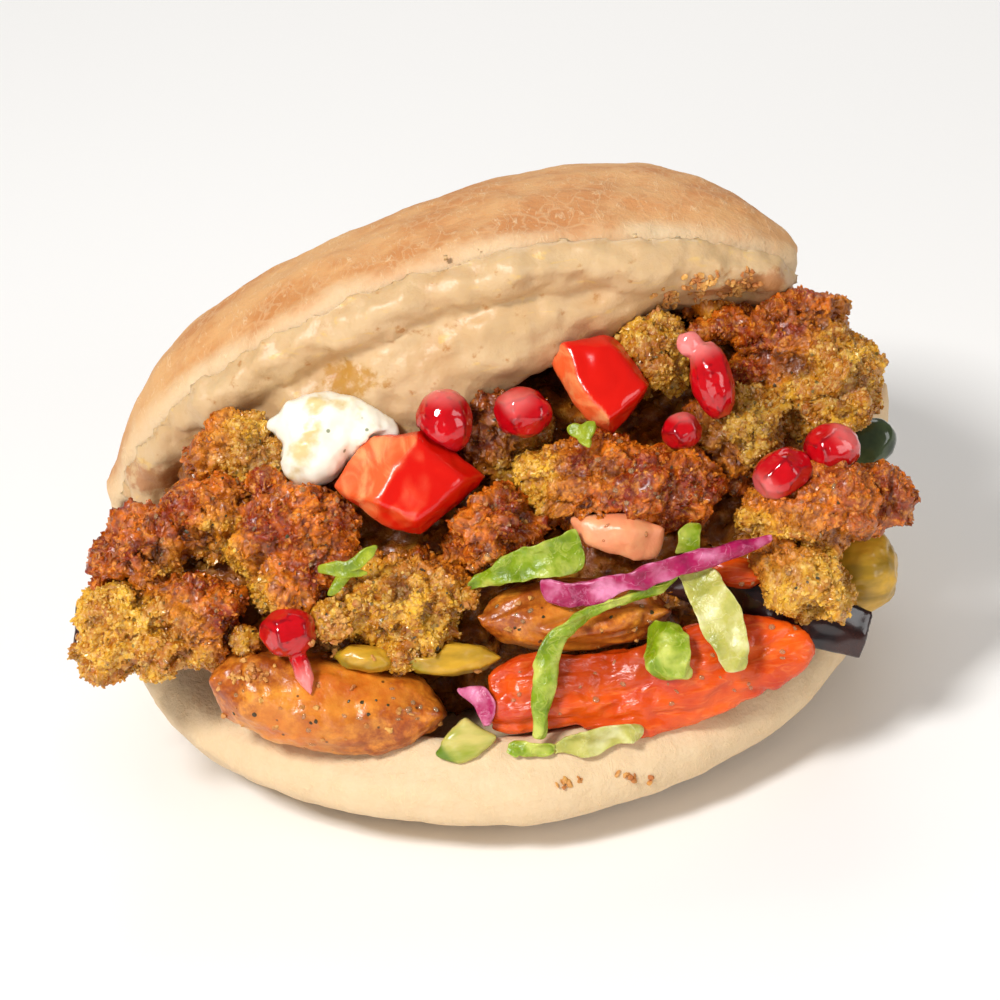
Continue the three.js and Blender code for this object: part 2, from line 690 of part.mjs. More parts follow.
const dollop = (radii, number) => lump({ radii, detail: 1, rough: 0.5, grain: 8, seed: number });
const sauce = joined([
  { shape: dollop([10.6, 5.8, 5], 41), at: [-25.8, 45.6, 52], turn: -6 },
  { shape: dollop([6.8, 5.4, 4.4], 42), at: [-28.6, 41.2, 53.6], turn: 12 },
  { shape: dollop([6.4, 5.6, 4], 43), at: [-19.6, 43.4, 52.6], turn: -30 },
]);
lay("garlic_sauce", sauce, finish("#f1ecd8", 0.35));

// ---------------------------------------------------------------- the falafel
// Deep-fried balls, mostly crushed or broken: brown crust outside and green-gold crumb where they broke.

const crust = finish("#8a4d1c", 0.6);
const crumb = finish("#a8923a", 0.7);
const CRAG = 2.6; // depth of the crags in a fried crust
const CRAG_WIDTH = 7.5;

const BREAKS = 5; // flat breaks round each fragment
const BREAK_DEPTH = 0.89; // share of the fragment's reach that a break leaves

// Breaks in random directions, each across the fragment's own reach that way.
function randomBreaks(radii, seedNumber) {
  return Array.from({ length: BREAKS }, (_, i) => {
    const [x, y, z] = [0, 1, 2].map((axis) => latticeValue(i, axis, 5, seedNumber) * 2 - 1);
    const side = vector(x, y, Math.abs(z)).normalize();
    const reach = Math.hypot(side.x * radii[0], side.y * radii[1], side.z * radii[2]);
    return [side.x, side.y, side.z, reach * BREAK_DEPTH];
  });
}

function ball(seedNumber, radii, flats = [], detail = 3) {
  const allFlats = [...flats, ...randomBreaks(radii, seedNumber)];
  return lump({ radii, flats: allFlats, detail, rough: CRAG, grain: CRAG_WIDTH, seed: seedNumber });
}

const leftHalf = ball(1, [14.8, 8.8, 9], [[0.1, -0.15, 1, 5.4], [-0.8, 0.6, 0.1, 10.6]]);
lay("falafel_left_half", leftHalf, crumb, { at: [-58.4, 15.4, 56], turn: 13 });
const arch = joined([
  { shape: ball(2, [9.5, 6, 7], [], 2), at: [-6.5, -2.2, 0], turn: 20 },
  { shape: ball(3, [9.8, 5, 6.5], [], 2), at: [5.2, 3, -1], turn: 18 },
]);
lay("falafel_left_arch", arch, crust, { at: [-53, 29.8, 54.5] });
const upperLeft = ball(4, [8.8, 7.6, 7], [[-0.2, 0.1, 1, 5]], 2);
lay("falafel_upper_left", upperLeft, crumb, { at: [-41.4, 41, 49.6], turn: 20 });
const centreLeft = ball(5, [10.8, 12.2, 8.4], [[-0.7, -0.6, 0.5, 8], [0.9, -0.4, 0.2, 8.6]]);
lay("falafel_centre_left", centreLeft, crust, { at: [-33.8, 25.8, 55], turn: -16 });
const crushed = joined([
  { shape: ball(6, [12, 10, 8.6], [[-0.4, -0.5, 0.8, 7.2]]), at: [0, 0, 0] },
  { shape: ball(7, [9.6, 5, 6.4], [], 2), at: [15.6, 10.4, -0.6], turn: 27 },
]);
lay("falafel_crushed", crushed, crumb, { at: [-16.6, 13.8, 56.4] });
const whole = ball(8, [19.2, 9.6, 8.4], [[-0.7, -0.7, 0.4, 9.6], [0.9, 0.5, 0, 15.6]]);
lay("falafel_whole", whole, crust, { at: [21.4, 29.4, 55.4], turn: -8 });
const shell = joined([
  { shape: ball(9, [12.6, 11.4, 9.4], [[-0.3, -0.2, 1, 5.6], [1, 0.8, 0.2, 11]]), at: [0, -0.8, 0] },
  { shape: ball(10, [13.8, 3.6, 7.6], [], 2), at: [-5.4, 9.6, 0.4], turn: 4 },
]);
lay("falafel_shell", shell, crust, { at: [56, 45, 46.5] });
lay("falafel_glossy", ball(11, [9, 9.2, 7.8], [], 1), crust, { at: [43.4, 35.4, 50.6], turn: 30 });
const disc = joined([
  { shape: ball(12, [13.6, 6.8, 7.6], [[-0.1, -1, 0.3, 5.6]]), at: [0, 0, 0], turn: 2 },
  { shape: ball(13, [5.6, 4, 4.8], [], 1), at: [12, 1.4, -1.4], turn: -14 },
]);
lay("falafel_right_disc", disc, crust, { at: [54.2, 21.6, 55] });
lay("falafel_right_crumb", ball(14, [9.8, 5.8, 6.2], [], 2), crumb, { at: [51.2, 9.8, 56.6], turn: -48 });
lay("falafel_behind_tomato", ball(15, [7.4, 7, 6.4], [], 1), crumb, { at: [28.6, 52, 48] });
lay("falafel_under_lip", ball(19, [10, 4.6, 6.2], [], 1), crust, { at: [41.5, 60.6, 42], turn: 6 });
lay("falafel_dark", ball(16, [10.4, 8.6, 7.4], [], 1), crust, { at: [1.4, 41.4, 48.6] });
const scrap = (seedNumber, radii) => lump({ radii, detail: 1, rough: 0.5, grain: 3, seed: seedNumber });
lay("falafel_scrap_left", scrap(17, [2.8, 2.3, 2.2]), crumb, { at: [-43.6, 11, 57.4] });
lay("falafel_scrap_middle", scrap(18, [3, 3.4, 2.6]), crumb, { at: [-28.2, 13.2, 61] });

// ---------------------------------------------------------------- the root vegetables along the lower lip

const potato = finish("#c87a2b", 0.4);
const wedge = (number, radii, flats, detail) =>
  lump({ radii, flats, detail, rough: 0.5, grain: 10, seed: number });
const potatoLeft = wedge(51, [22.6, 9.8, 10], [[0.05, 1, 0.3, 6.4], [0, 0.35, 1, 7.6]], 2);
lay("potato_left", potatoLeft, potato, { at: [-31.4, 0.2, 54.6], turn: -16 });
const potatoMiddle = wedge(52, [18.6, 6.4, 7.6], [[0, 0.5, 1, 5.4]], 2);
lay("potato_middle", potatoMiddle, potato, { at: [11.8, 8.8, 56.4], turn: -5 });

const carrot = finish("#d8491a", 0.3);
const carrotLong = strip({
  thickness: 5.4,
  steps: 14,
  row: 4,
  ruffle: 0.5,
  stations: [
    { at: [-3.6, -4, 58.6], across: [0.1, 1, 0.1], half: 4.6, cup: 0 },
    { at: [1, -4, 60], across: [0.05, 1, 0.2], half: 6.8, cup: -0.8 },
    { at: [8, -4.4, 60.2], across: [0, 1, 0.3], half: 7.4, cup: -1.4 },
    { at: [17, -5.4, 58.8], across: [0, 1, 0], half: 7.4, cup: 0.8 },
    { at: [27, -4.4, 60.4], across: [-0.1, 1, 0.3], half: 7.7, cup: -1.4 },
    { at: [38, -1.4, 58.8], across: [-0.25, 1, 0.1], half: 7.6, cup: -0.8 },
    { at: [46, -0.4, 58], across: [-0.3, 1, 0], half: 5.2 },
    { at: [50, -0.2, 57.4], across: [-0.3, 1, 0], half: 2.2 },
  ],
});
lay("carrot_long", carrotLong, carrot);
const carrotShort = lump({ radii: [6.4, 3.2, 3.4], detail: 1, rough: 0.2 });
lay("carrot_short", carrotShort, carrot, { at: [39.6, 12.6, 55.4], turn: -16 });

// ---------------------------------------------------------------- pomegranate seeds
// Each is a juicy bead that narrows to one end; two still have their pale stalk.

const pomegranate = finish("#b90f2b", 0.15);
const SEED_SIDES = [
  [-0.3, 0.9, 0.6],
  [0.2, -0.7, 0.8],
  [-0.8, -0.2, 0.5],
  [0.1, 0.1, 1],
]; // where neighbouring seeds had pressed a seed flat

function seed(radii, tipped = 0) {
  const pressed = SEED_SIDES.map((side) => [...side, radii[1] * 0.9]);
  return lump({ radii, detail: 2, flats: [[1, tipped, 0.3, radii[0] * 0.86], ...pressed] });
}
const stalk = (radii) => lump({ radii, detail: 1 });

lay("pomegranate_1", seed([5, 5.7, 4.8]), pomegranate, { at: [-5.8, 43.8, 57.6] });
lay("pomegranate_2", seed([5.3, 4.3, 4.4], 1), pomegranate, { at: [7.2, 43.7, 57.8], turn: -12 });
const longSeed = joined([
  { shape: seed([3.9, 7, 4]), at: [0, 0, 0] },
  { shape: stalk([2.3, 2.6, 1.7]), at: [-2.3, 6.8, 0] },
]);
lay("pomegranate_3", longSeed, pomegranate, { at: [39.6, 45.2, 58.4], turn: 7 });
lay("pomegranate_4", seed([3.7, 3.3, 3.3]), pomegranate, { at: [33.4, 37.2, 58.4], turn: 20 });
lay("pomegranate_5", seed([5.8, 4.1, 4.2]), pomegranate, { at: [49.3, 28.4, 61], turn: 205 });
lay("pomegranate_6", seed([5, 4.5, 4.4], -1), pomegranate, { at: [58, 31.2, 58] });
const droppedSeed = joined([
  { shape: seed([5.1, 4.2, 4.4]), at: [0, 0, 0] },
  { shape: stalk([1.7, 5, 1.5]), at: [1.5, -6.2, -0.4], turn: 12 },
]);
lay("pomegranate_7", droppedSeed, pomegranate, { at: [-36, 12, 63.4] });

// ---------------------------------------------------------------- pickles and cucumber along the lower lip

const pickleSlice = lump({ radii: [9.8, 2.9, 4.2], flats: [[0, 0.3, 1, 3]], detail: 2 });
lay("pickle_middle", pickleSlice, pickle, { at: [-9.8, 4, 57.6], turn: -5 });
lay("pickle_left", lump({ radii: [6, 2.4, 4], detail: 1 }), pickle, { at: [-24, 5.8, 58.6], turn: -14 });

const cucumber = chunk(
  [
    [-13.8, -11.6, 60.4],
    [-12, -9, 61.4],
    [-8.6, -6.4, 61],
    [-4.2, -9.8, 61.4],
    [-7, -12, 62],
    [-10.4, -12.6, 61.6],
    [-12.4, -10.6, 56],
    [-8.4, -7, 55],
    [-4.8, -9.8, 56],
    [-9.4, -12.4, 57.4],
  ],
  0.6,
);
lay("cucumber", cucumber, finish("#b4c274", 0.3));

cutBack();

export default sandwich;
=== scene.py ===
# A falafel sandwich: a thick flatbread slit open and stuffed. Every piece keeps the form of its solid and
# gets the surface and the finish of the real food.
import json
import math

import bmesh
import bpy
import numpy as np
from mathutils import Matrix, Vector

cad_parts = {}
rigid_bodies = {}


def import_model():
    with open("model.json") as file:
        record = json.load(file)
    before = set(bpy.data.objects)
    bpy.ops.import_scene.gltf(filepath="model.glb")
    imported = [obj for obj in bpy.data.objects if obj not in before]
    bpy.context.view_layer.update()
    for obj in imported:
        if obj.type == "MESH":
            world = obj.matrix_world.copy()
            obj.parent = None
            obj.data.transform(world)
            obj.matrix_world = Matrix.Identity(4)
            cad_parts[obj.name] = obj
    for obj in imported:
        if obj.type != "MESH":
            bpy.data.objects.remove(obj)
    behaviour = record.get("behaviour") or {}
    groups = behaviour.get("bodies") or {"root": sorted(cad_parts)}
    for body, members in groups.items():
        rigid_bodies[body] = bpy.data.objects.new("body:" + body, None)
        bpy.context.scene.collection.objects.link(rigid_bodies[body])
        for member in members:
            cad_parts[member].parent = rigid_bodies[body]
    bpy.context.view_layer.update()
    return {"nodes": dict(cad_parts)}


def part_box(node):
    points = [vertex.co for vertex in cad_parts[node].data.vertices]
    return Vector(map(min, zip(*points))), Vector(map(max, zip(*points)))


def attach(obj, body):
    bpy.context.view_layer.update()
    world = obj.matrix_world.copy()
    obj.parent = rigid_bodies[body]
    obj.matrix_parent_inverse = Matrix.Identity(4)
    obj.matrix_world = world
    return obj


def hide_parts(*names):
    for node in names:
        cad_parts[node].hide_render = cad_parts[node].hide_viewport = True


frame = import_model()
scene = bpy.context.scene

# ---- The table, the light and the camera -----------------------------------------------------------------
# A plain pale table top under a big soft light from the upper left, as in a product picture. The camera
# looks 30 degrees down at the mouth with a long lens, and is turned so that the right side stands higher.

CAMERA_DISTANCE = 0.62
CAMERA_PITCH = math.radians(30)
CAMERA_ROLL = math.radians(7)
CAMERA_TARGET = Vector((0.0017, 0.0, 0.0341))
LENS = 124
LIT_SPOT = Vector((0, 0, 0.04))  # the middle of the food, which every light faces
TABLE_HALF = 3


def srgb(text):
    """A hex colour as the linear colour that Blender's sockets take."""
    parts = [int(text[i : i + 2], 16) / 255 for i in (1, 3, 5)]
    return [p / 12.92 if p <= 0.04045 else ((p + 0.055) / 1.055) ** 2.4 for p in parts] + [1.0]


def every(millimetres):
    """The scale of a pattern that repeats about once in so many millimetres."""
    return 1000 / millimetres


def join(tree, node, inputs):
    """Sets a node's inputs, each from a value, a socket to link, or a node whose first output is linked."""
    for key, value in inputs.items():
        sockets = [socket for socket in node.inputs if socket.enabled]
        socket = sockets[key] if isinstance(key, int) else next(s for s in sockets if s.name == key)
        if isinstance(value, bpy.types.Node):
            value = next(s for s in value.outputs if s.enabled)
        if isinstance(value, bpy.types.NodeSocket):
            tree.links.new(value, socket)
        else:
            socket.default_value = value


def add(tree, kind, inputs=None, **settings):
    """Adds a node with its settings, and joins its inputs."""
    node = tree.nodes.new(kind)
    for name, value in settings.items():
        setattr(node, name, value)
    join(tree, node, inputs or {})
    return node


def start_material(name):
    """A material with its own node tree, and the Principled shader in it."""
    material = bpy.data.materials.new(name)
    material.use_nodes = True
    return material, material.node_tree, material.node_tree.nodes["Principled BSDF"]


across = Vector((1, 0, 0))
upward = Vector((0, math.sin(CAMERA_PITCH), math.cos(CAMERA_PITCH)))
back = Vector((0, -math.cos(CAMERA_PITCH), math.sin(CAMERA_PITCH)))
right = across * math.cos(CAMERA_ROLL) - upward * math.sin(CAMERA_ROLL)
top = upward * math.cos(CAMERA_ROLL) + across * math.sin(CAMERA_ROLL)
camera = bpy.data.objects.new("camera", bpy.data.cameras.new("camera"))
camera.data.lens = LENS
camera.data.clip_start = 0.01
aim = Matrix((right, top, back)).transposed().to_4x4()
camera.matrix_world = Matrix.Translation(CAMERA_TARGET + back * CAMERA_DISTANCE) @ aim
scene.collection.objects.link(camera)
scene.camera = camera
scene.view_settings.view_transform = "Standard"

# Each light: where it stands and how wide it is in metres, and its watts.
for name, spot, size, power in (
    ("key", (-0.42, -0.5, 0.8), 0.2, 8.6),
    ("fill", (0.7, -0.6, 0.4), 0.4, 1.8),
    ("front", (-0.45, -0.9, 0.14), 0.5, 1.8),
    ("back", (0.1, 0.7, 0.7), 0.6, 2.5),
):
    light = bpy.data.objects.new(name, bpy.data.lights.new(name, "AREA"))
    light.data.energy = power
    light.data.size = size
    light.location = spot
    light.rotation_euler = (LIT_SPOT - Vector(spot)).to_track_quat("-Z", "Y").to_euler()
    scene.collection.objects.link(light)
world = bpy.data.worlds.new("soft room")
world.use_nodes = True
world.node_tree.nodes["Background"].inputs["Color"].default_value = srgb("#ffffff")
# The room is darker in reflections than as light, as around a table between soft boxes.
mirrored = add(world.node_tree, "ShaderNodeLightPath").outputs["Is Glossy Ray"]
room = add(world.node_tree, "ShaderNodeMapRange", {"Value": mirrored, "To Min": 0.33, "To Max": 0.12})
world.node_tree.links.new(room.outputs["Result"], world.node_tree.nodes["Background"].inputs["Strength"])
scene.world = world

table_mesh = bpy.data.meshes.new("table")
corners = [(TABLE_HALF * x, TABLE_HALF * y, 0) for x, y in ((-1, -1), (1, -1), (1, 1), (-1, 1))]
table_mesh.from_pydata(corners, [], [(0, 1, 2, 3)])
table = bpy.data.objects.new("table", table_mesh)
scene.collection.objects.link(table)
# Matt painted board, nearly white.
material, tree, shader = start_material("matt_white_board")
join(tree, shader, {"Base Color": srgb("#f4f2ef"), "Roughness": 0.9})
table_mesh.materials.append(material)

# ---- The flatbread ----------------------------------------------------------------------------------------
# A thick round pita of soft wheat dough, baked on a hot floor: golden on the crown with fine pale fibres,
# and pale cream down the sides and on the lower layer, with a dusty matt skin.

PITA_VOXEL = 0.0011
PITA_MIDDLE = np.array([0, 0.008, 0.038])
CROWN_TILT = 0.10  # how much higher the golden part begins behind than in front, for each metre
CROWN_HEIGHTS = 0.028, 0.056  # from cream to golden
LIP_FADE = 0.001, 0.010  # from pale at the cut edge to golden
SOAKED_MIDDLE = np.array([-0.05, 0.004, 0.046])
SOAKED_REACH = np.array([0.022, 0.03, 0.016])
# The cut edge of the upper layer, in millimetres.
LIP_LINE = [
    (-62, 2, 43), (-57, -3, 55), (-44, -9, 68.4), (-20, -14, 81.6), (8, -15, 88), (33, -13, 85), (48, -9, 80),
    (56, -5, 72),
]


def copy_of(node):
    """A solid's mesh as a new piece, with its loose triangles joined."""
    mesh = bmesh.new()
    mesh.from_mesh(frame["nodes"][node].data)
    bmesh.ops.remove_doubles(mesh, verts=mesh.verts, dist=1e-6)
    for face in mesh.faces:
        face.smooth = True
    data = bpy.data.meshes.new(node + "_food")
    mesh.to_mesh(data)
    mesh.free()
    piece = bpy.data.objects.new(node + "_food", data)
    scene.collection.objects.link(piece)
    return piece


def smoothed(piece, voxel, rounds):
    """Gives the piece an even skin of small quads, with the solid's facets rubbed down."""
    remesh = piece.modifiers.new("skin", "REMESH")
    remesh.mode = "VOXEL"
    remesh.voxel_size = voxel
    remesh.use_smooth_shade = True
    smooth = piece.modifiers.new("rub down", "SMOOTH")
    smooth.factor = 0.6
    smooth.iterations = rounds


def start_tree(name, sizes):
    """A Geometry Nodes tree with a named input for each size. Returns it with its input node."""
    tree = bpy.data.node_groups.new(name, "GeometryNodeTree")
    tree.interface.new_socket("Geometry", in_out="INPUT", socket_type="NodeSocketGeometry")
    for size, value in sizes.items():
        if isinstance(value, tuple):
            kind = "NodeSocketVector"
        else:
            kind = "NodeSocketMaterial" if value is None else "NodeSocketFloat"
        socket = tree.interface.new_socket(size, in_out="INPUT", socket_type=kind)
        if value is not None:
            socket.default_value = value
    tree.interface.new_socket("Geometry", in_out="OUTPUT", socket_type="NodeSocketGeometry")
    return tree, tree.nodes.new("NodeGroupInput").outputs


def shape_by(piece, tree, **sizes):
    """Adds a tree to the piece, with its inputs set by their identifiers."""
    modifier = piece.modifiers.new(tree.name, "NODES")
    modifier.node_group = tree
    for item in tree.interface.items_tree:
        key = item.name.lower().replace(" ", "_")
        if item.in_out == "INPUT" and key in sizes:
            modifier[item.identifier] = sizes[key]


def keep_shape(piece):
    """Turns what the modifiers made into the piece's own plain mesh."""
    graph = bpy.context.evaluated_depsgraph_get()
    shaped = bpy.data.meshes.new_from_object(
        piece.evaluated_get(graph), preserve_all_data_layers=True, depsgraph=graph
    )
    piece.modifiers.clear()
    piece.data = shaped


def serve(piece, material, slot, *nodes):
    """Gives the piece its finish, and puts it in place of its solid."""
    piece.data.materials.clear()
    piece.data.materials.append(material)
    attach(piece, "root")
    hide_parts(*nodes)


# The surface rises and falls by soft noise, by creases, and by finer noise. Stretch lengthens them along
# an axis. The rise is kept for the finish, which colours hollows and crests.
uneven, given = start_tree(
    "Uneven surface",
    {
        "Depth": 0.0, "Width": 0.01, "Crease": 0.0, "Fine depth": 0.0, "Fine width": 0.002,
        "Stretch": (1.0, 1.0, 1.0), "Offset": (0.0, 0.0, 0.0),
    },
)
place = add(
    uneven, "ShaderNodeVectorMath",
    {0: add(uneven, "GeometryNodeInputPosition"), 1: given["Stretch"], 2: given["Offset"]},
    operation="MULTIPLY_ADD",
)
coarse_scale = add(uneven, "ShaderNodeMath", {0: 1.0, 1: given["Width"]}, operation="DIVIDE")
fine_scale = add(uneven, "ShaderNodeMath", {0: 1.0, 1: given["Fine width"]}, operation="DIVIDE")
coarse = add(uneven, "ShaderNodeTexNoise", {"Vector": place, "Scale": coarse_scale, "Detail": 2.0})
fine = add(
    uneven, "ShaderNodeTexNoise", {"Vector": place, "Scale": fine_scale, "Detail": 4.0, "Roughness": 0.6}
)
swell = add(
    uneven, "ShaderNodeMapRange",
    {"Value": coarse, "From Min": 0.25, "From Max": 0.75, "To Min": -1.0, "To Max": 1.0},
)
groove = add(uneven, "ShaderNodeMath", {0: swell}, operation="ABSOLUTE")
groove = add(
    uneven, "ShaderNodeMapRange", {"Value": groove, "From Max": 0.35, "To Min": -1.0, "To Max": 0.25},
    interpolation_type="SMOOTHSTEP",
)
rise = add(uneven, "ShaderNodeMix", {"Factor": given["Crease"], "A": swell, "B": groove}, data_type="FLOAT")
ripple = add(
    uneven, "ShaderNodeMapRange",
    {"Value": fine, "From Min": 0.25, "From Max": 0.75, "To Min": -1.0, "To Max": 1.0},
)
height = add(uneven, "ShaderNodeMath", {0: rise, 1: given["Depth"]}, operation="MULTIPLY")
height = add(
    uneven, "ShaderNodeMath", {0: ripple, 1: given["Fine depth"], 2: height}, operation="MULTIPLY_ADD"
)
push = add(
    uneven, "ShaderNodeVectorMath", {0: add(uneven, "GeometryNodeInputNormal"), "Scale": height},
    operation="SCALE",
)
moved = add(uneven, "GeometryNodeSetPosition", {"Geometry": given["Geometry"], "Offset": push})
kept = add(
    uneven, "GeometryNodeStoreNamedAttribute", {"Geometry": moved, "Name": "rise", "Value": rise},
    data_type="FLOAT", domain="POINT",
)
add(uneven, "NodeGroupOutput", {"Geometry": kept})

pita = copy_of("pita")
smoothed(pita, voxel=PITA_VOXEL, rounds=14)
shape_by(pita, uneven, depth=0.0005, width=0.014, fine_depth=0.00012, fine_width=0.003)
keep_shape(pita)


def points_of(mesh):
    """The vertices and their normals, as arrays."""
    spots = np.empty(len(mesh.vertices) * 3)
    normals = np.empty(len(mesh.vertices) * 3)
    mesh.vertices.foreach_get("co", spots)
    mesh.vertex_normals.foreach_get("vector", normals)
    return spots.reshape(-1, 3), normals.reshape(-1, 3)


def ease(values, low, high):
    """0 below low, 1 above high, and a soft step between."""
    share = np.clip((values - low) / (high - low), 0, 1)
    return share * share * (3 - 2 * share)


def mark(mesh, name, values):
    """Keeps a number for each vertex, which the finish reads."""
    mesh.attributes.new(name, "FLOAT", "POINT").data.foreach_set("value", values.astype(np.float32))


def distance_to_line(spots, line):
    """How far each point is from a line through points in millimetres."""
    line = np.array(line) / 1000
    nearest = np.full(len(spots), 1.0)
    for start, end in zip(line, line[1:]):
        along = np.clip(((spots - start) @ (end - start)) / ((end - start) @ (end - start)), 0, 1)
        nearest = np.minimum(nearest, np.linalg.norm(spots - start - along[:, None] * (end - start), axis=1))
    return nearest


spots, normals = points_of(pita.data)
outside = ease(((spots - PITA_MIDDLE) * normals).sum(axis=1), 0.0, 0.02)
crown = ease(spots[:, 2] - CROWN_TILT * spots[:, 1], *CROWN_HEIGHTS)
crown = crown * ease(distance_to_line(spots, LIP_LINE), *LIP_FADE)
mark(pita.data, "baked", crown * outside)
mark(pita.data, "outside", outside)
# Where juice from the filling has soaked the inside of the bread.
soaked = 1 - ease(np.linalg.norm((spots - SOAKED_MIDDLE) / SOAKED_REACH, axis=1), 0.5, 1.1)
mark(pita.data, "soaked", soaked * (1 - outside))

# Baked wheat crust: matt and dusty, cream where pale and golden where hot, with thin pale fibres of flour.
material, tree, shader = start_material("baked_wheat_crust")
spot = add(tree, "ShaderNodeTexCoord").outputs["Object"]
baked = add(tree, "ShaderNodeAttribute", attribute_name="baked").outputs["Fac"]
outer = add(tree, "ShaderNodeAttribute", attribute_name="outside").outputs["Fac"]
wet = add(tree, "ShaderNodeAttribute", attribute_name="soaked").outputs["Fac"]
blotch = add(
    tree, "ShaderNodeTexNoise", {"Vector": spot, "Scale": every(16), "Detail": 4.0, "Roughness": 0.6}
)
mottle = add(
    tree, "ShaderNodeTexNoise", {"Vector": spot, "Scale": every(3.5), "Detail": 5.0, "Roughness": 0.65}
)
cream = add(
    tree, "ShaderNodeMix", {"Factor": mottle, "A": srgb("#e4caa4"), "B": srgb("#d8b78b")}, data_type="RGBA"
)
hot = add(
    tree, "ShaderNodeMapRange", {"Value": blotch, "From Min": 0.38, "From Max": 0.66},
    interpolation_type="SMOOTHSTEP",
)
golden = add(
    tree, "ShaderNodeMix", {"Factor": hot, "A": srgb("#dca66c"), "B": srgb("#c98448")}, data_type="RGBA"
)
spread = add(
    tree, "ShaderNodeMath",
    {0: add(tree, "ShaderNodeMath", {0: blotch, 1: 0.5}, operation="SUBTRACT"), 1: 0.9, 2: baked},
    operation="MULTIPLY_ADD",
)
spread = add(
    tree, "ShaderNodeMapRange", {"Value": spread, "From Min": 0.12, "From Max": 0.78},
    interpolation_type="SMOOTHSTEP",
)
gate = add(tree, "ShaderNodeMapRange", {"Value": baked, "From Max": 0.25})
spread = add(tree, "ShaderNodeMath", {0: spread, 1: gate}, operation="MULTIPLY")
skin = add(tree, "ShaderNodeMix", {"Factor": spread, "A": cream, "B": golden}, data_type="RGBA")
# Fibres: the thin lines where a stretched noise crosses its middle.
turned = add(
    tree, "ShaderNodeMapping", {"Vector": spot, "Rotation": (0.4, 0.5, 0.7), "Scale": (1.0, 0.22, 0.5)}
)
strand = add(
    tree, "ShaderNodeTexNoise", {"Vector": turned, "Scale": every(1.6), "Detail": 3.0, "Distortion": 0.8}
)
strand = add(
    tree, "ShaderNodeMath", {0: add(tree, "ShaderNodeMath", {0: strand, 1: 0.5}, operation="SUBTRACT")},
    operation="ABSOLUTE",
)
strand = add(
    tree, "ShaderNodeMapRange", {"Value": strand, "From Max": 0.03, "To Min": 0.55, "To Max": 0.0},
    interpolation_type="SMOOTHSTEP",
)
patch = add(tree, "ShaderNodeMapRange", {"Value": mottle, "From Min": 0.45, "From Max": 0.62})
strand = add(tree, "ShaderNodeMath", {0: strand, 1: patch}, operation="MULTIPLY")
skin = add(tree, "ShaderNodeMix", {"Factor": strand, "A": skin, "B": srgb("#f0cfa2")}, data_type="RGBA")
# Wrinkles: fine pale creases that run down the crown where the crust was pulled.
bent = add(tree, "ShaderNodeTexNoise", {"Vector": spot, "Scale": every(5), "Detail": 3.0})
bent = add(
    tree, "ShaderNodeVectorMath", {0: bent.outputs["Color"], 1: (0.006, 0.006, 0.006), 2: spot},
    operation="MULTIPLY_ADD",
)
bent = add(
    tree, "ShaderNodeMapping", {"Vector": bent, "Rotation": (0.3, 0.1, 0.5), "Scale": (1.0, 0.35, 0.7)}
)
wrinkle = add(tree, "ShaderNodeTexVoronoi", {"Vector": bent, "Scale": every(3.4)}, feature="DISTANCE_TO_EDGE")
wrinkle = add(
    tree, "ShaderNodeMapRange", {"Value": wrinkle, "From Max": 0.09, "To Min": 1.0, "To Max": 0.0},
    interpolation_type="SMOOTHSTEP",
)
pulled = add(
    tree, "ShaderNodeMapRange", {"Value": blotch, "From Min": 0.44, "From Max": 0.62, "To Max": 0.28}
)
wrinkle = add(
    tree, "ShaderNodeMath",
    {0: wrinkle, 1: add(tree, "ShaderNodeMath", {0: pulled, 1: spread}, operation="MULTIPLY")},
    operation="MULTIPLY",
)
skin = add(tree, "ShaderNodeMix", {"Factor": wrinkle, "A": skin, "B": srgb("#efcd9c")}, data_type="RGBA")
crumb = add(
    tree, "ShaderNodeMix", {"Factor": mottle, "A": srgb("#ead6b4"), "B": srgb("#d6b88c")}, data_type="RGBA"
)
crumb = add(tree, "ShaderNodeMix", {"Factor": wet, "A": crumb, "B": srgb("#9a6240")}, data_type="RGBA")
colour = add(tree, "ShaderNodeMix", {"Factor": outer, "A": crumb, "B": skin}, data_type="RGBA")
pore = add(tree, "ShaderNodeTexNoise", {"Vector": spot, "Scale": every(0.9), "Detail": 4.0})
relief = add(tree, "ShaderNodeMath", {0: strand, 1: 0.6, 2: pore}, operation="MULTIPLY_ADD")
relief = add(tree, "ShaderNodeMath", {0: wrinkle, 1: 0.8, 2: relief}, operation="MULTIPLY_ADD")
relief = add(tree, "ShaderNodeMath", {0: mottle, 1: 1.6, 2: relief}, operation="MULTIPLY_ADD")
bump = add(tree, "ShaderNodeBump", {"Height": relief, "Strength": 0.5, "Distance": 0.0004})
join(
    tree, shader,
    {
        "Base Color": colour, "Normal": bump, "Roughness": 0.62, "Subsurface Weight": 0.12,
        "Subsurface Radius": (1.0, 0.6, 0.3), "Subsurface Scale": 0.002, "Specular IOR Level": 0.35,
    },
)
serve(pita, material, "bread", "pita")

# ---- The hummus -------------------------------------------------------------------------------------------
# A thick paste of chickpeas and sesame, spread on the inside of the upper layer. It lies in long folds along
# the lip, with a moist satin surface and yellow oil in its creases, and painted shade darkens its hollows.

# Where frying oil has run down on it, and where it is brown from the falafel: middles and reaches in
# millimetres.
OIL_STAINS = [((-21, -19, 72), (8, 8, 4))]
FRIED_STAINS = [((-56, -8, 51), (16, 9, 5)), ((48, -15.5, 78), (12, 8, 4))]

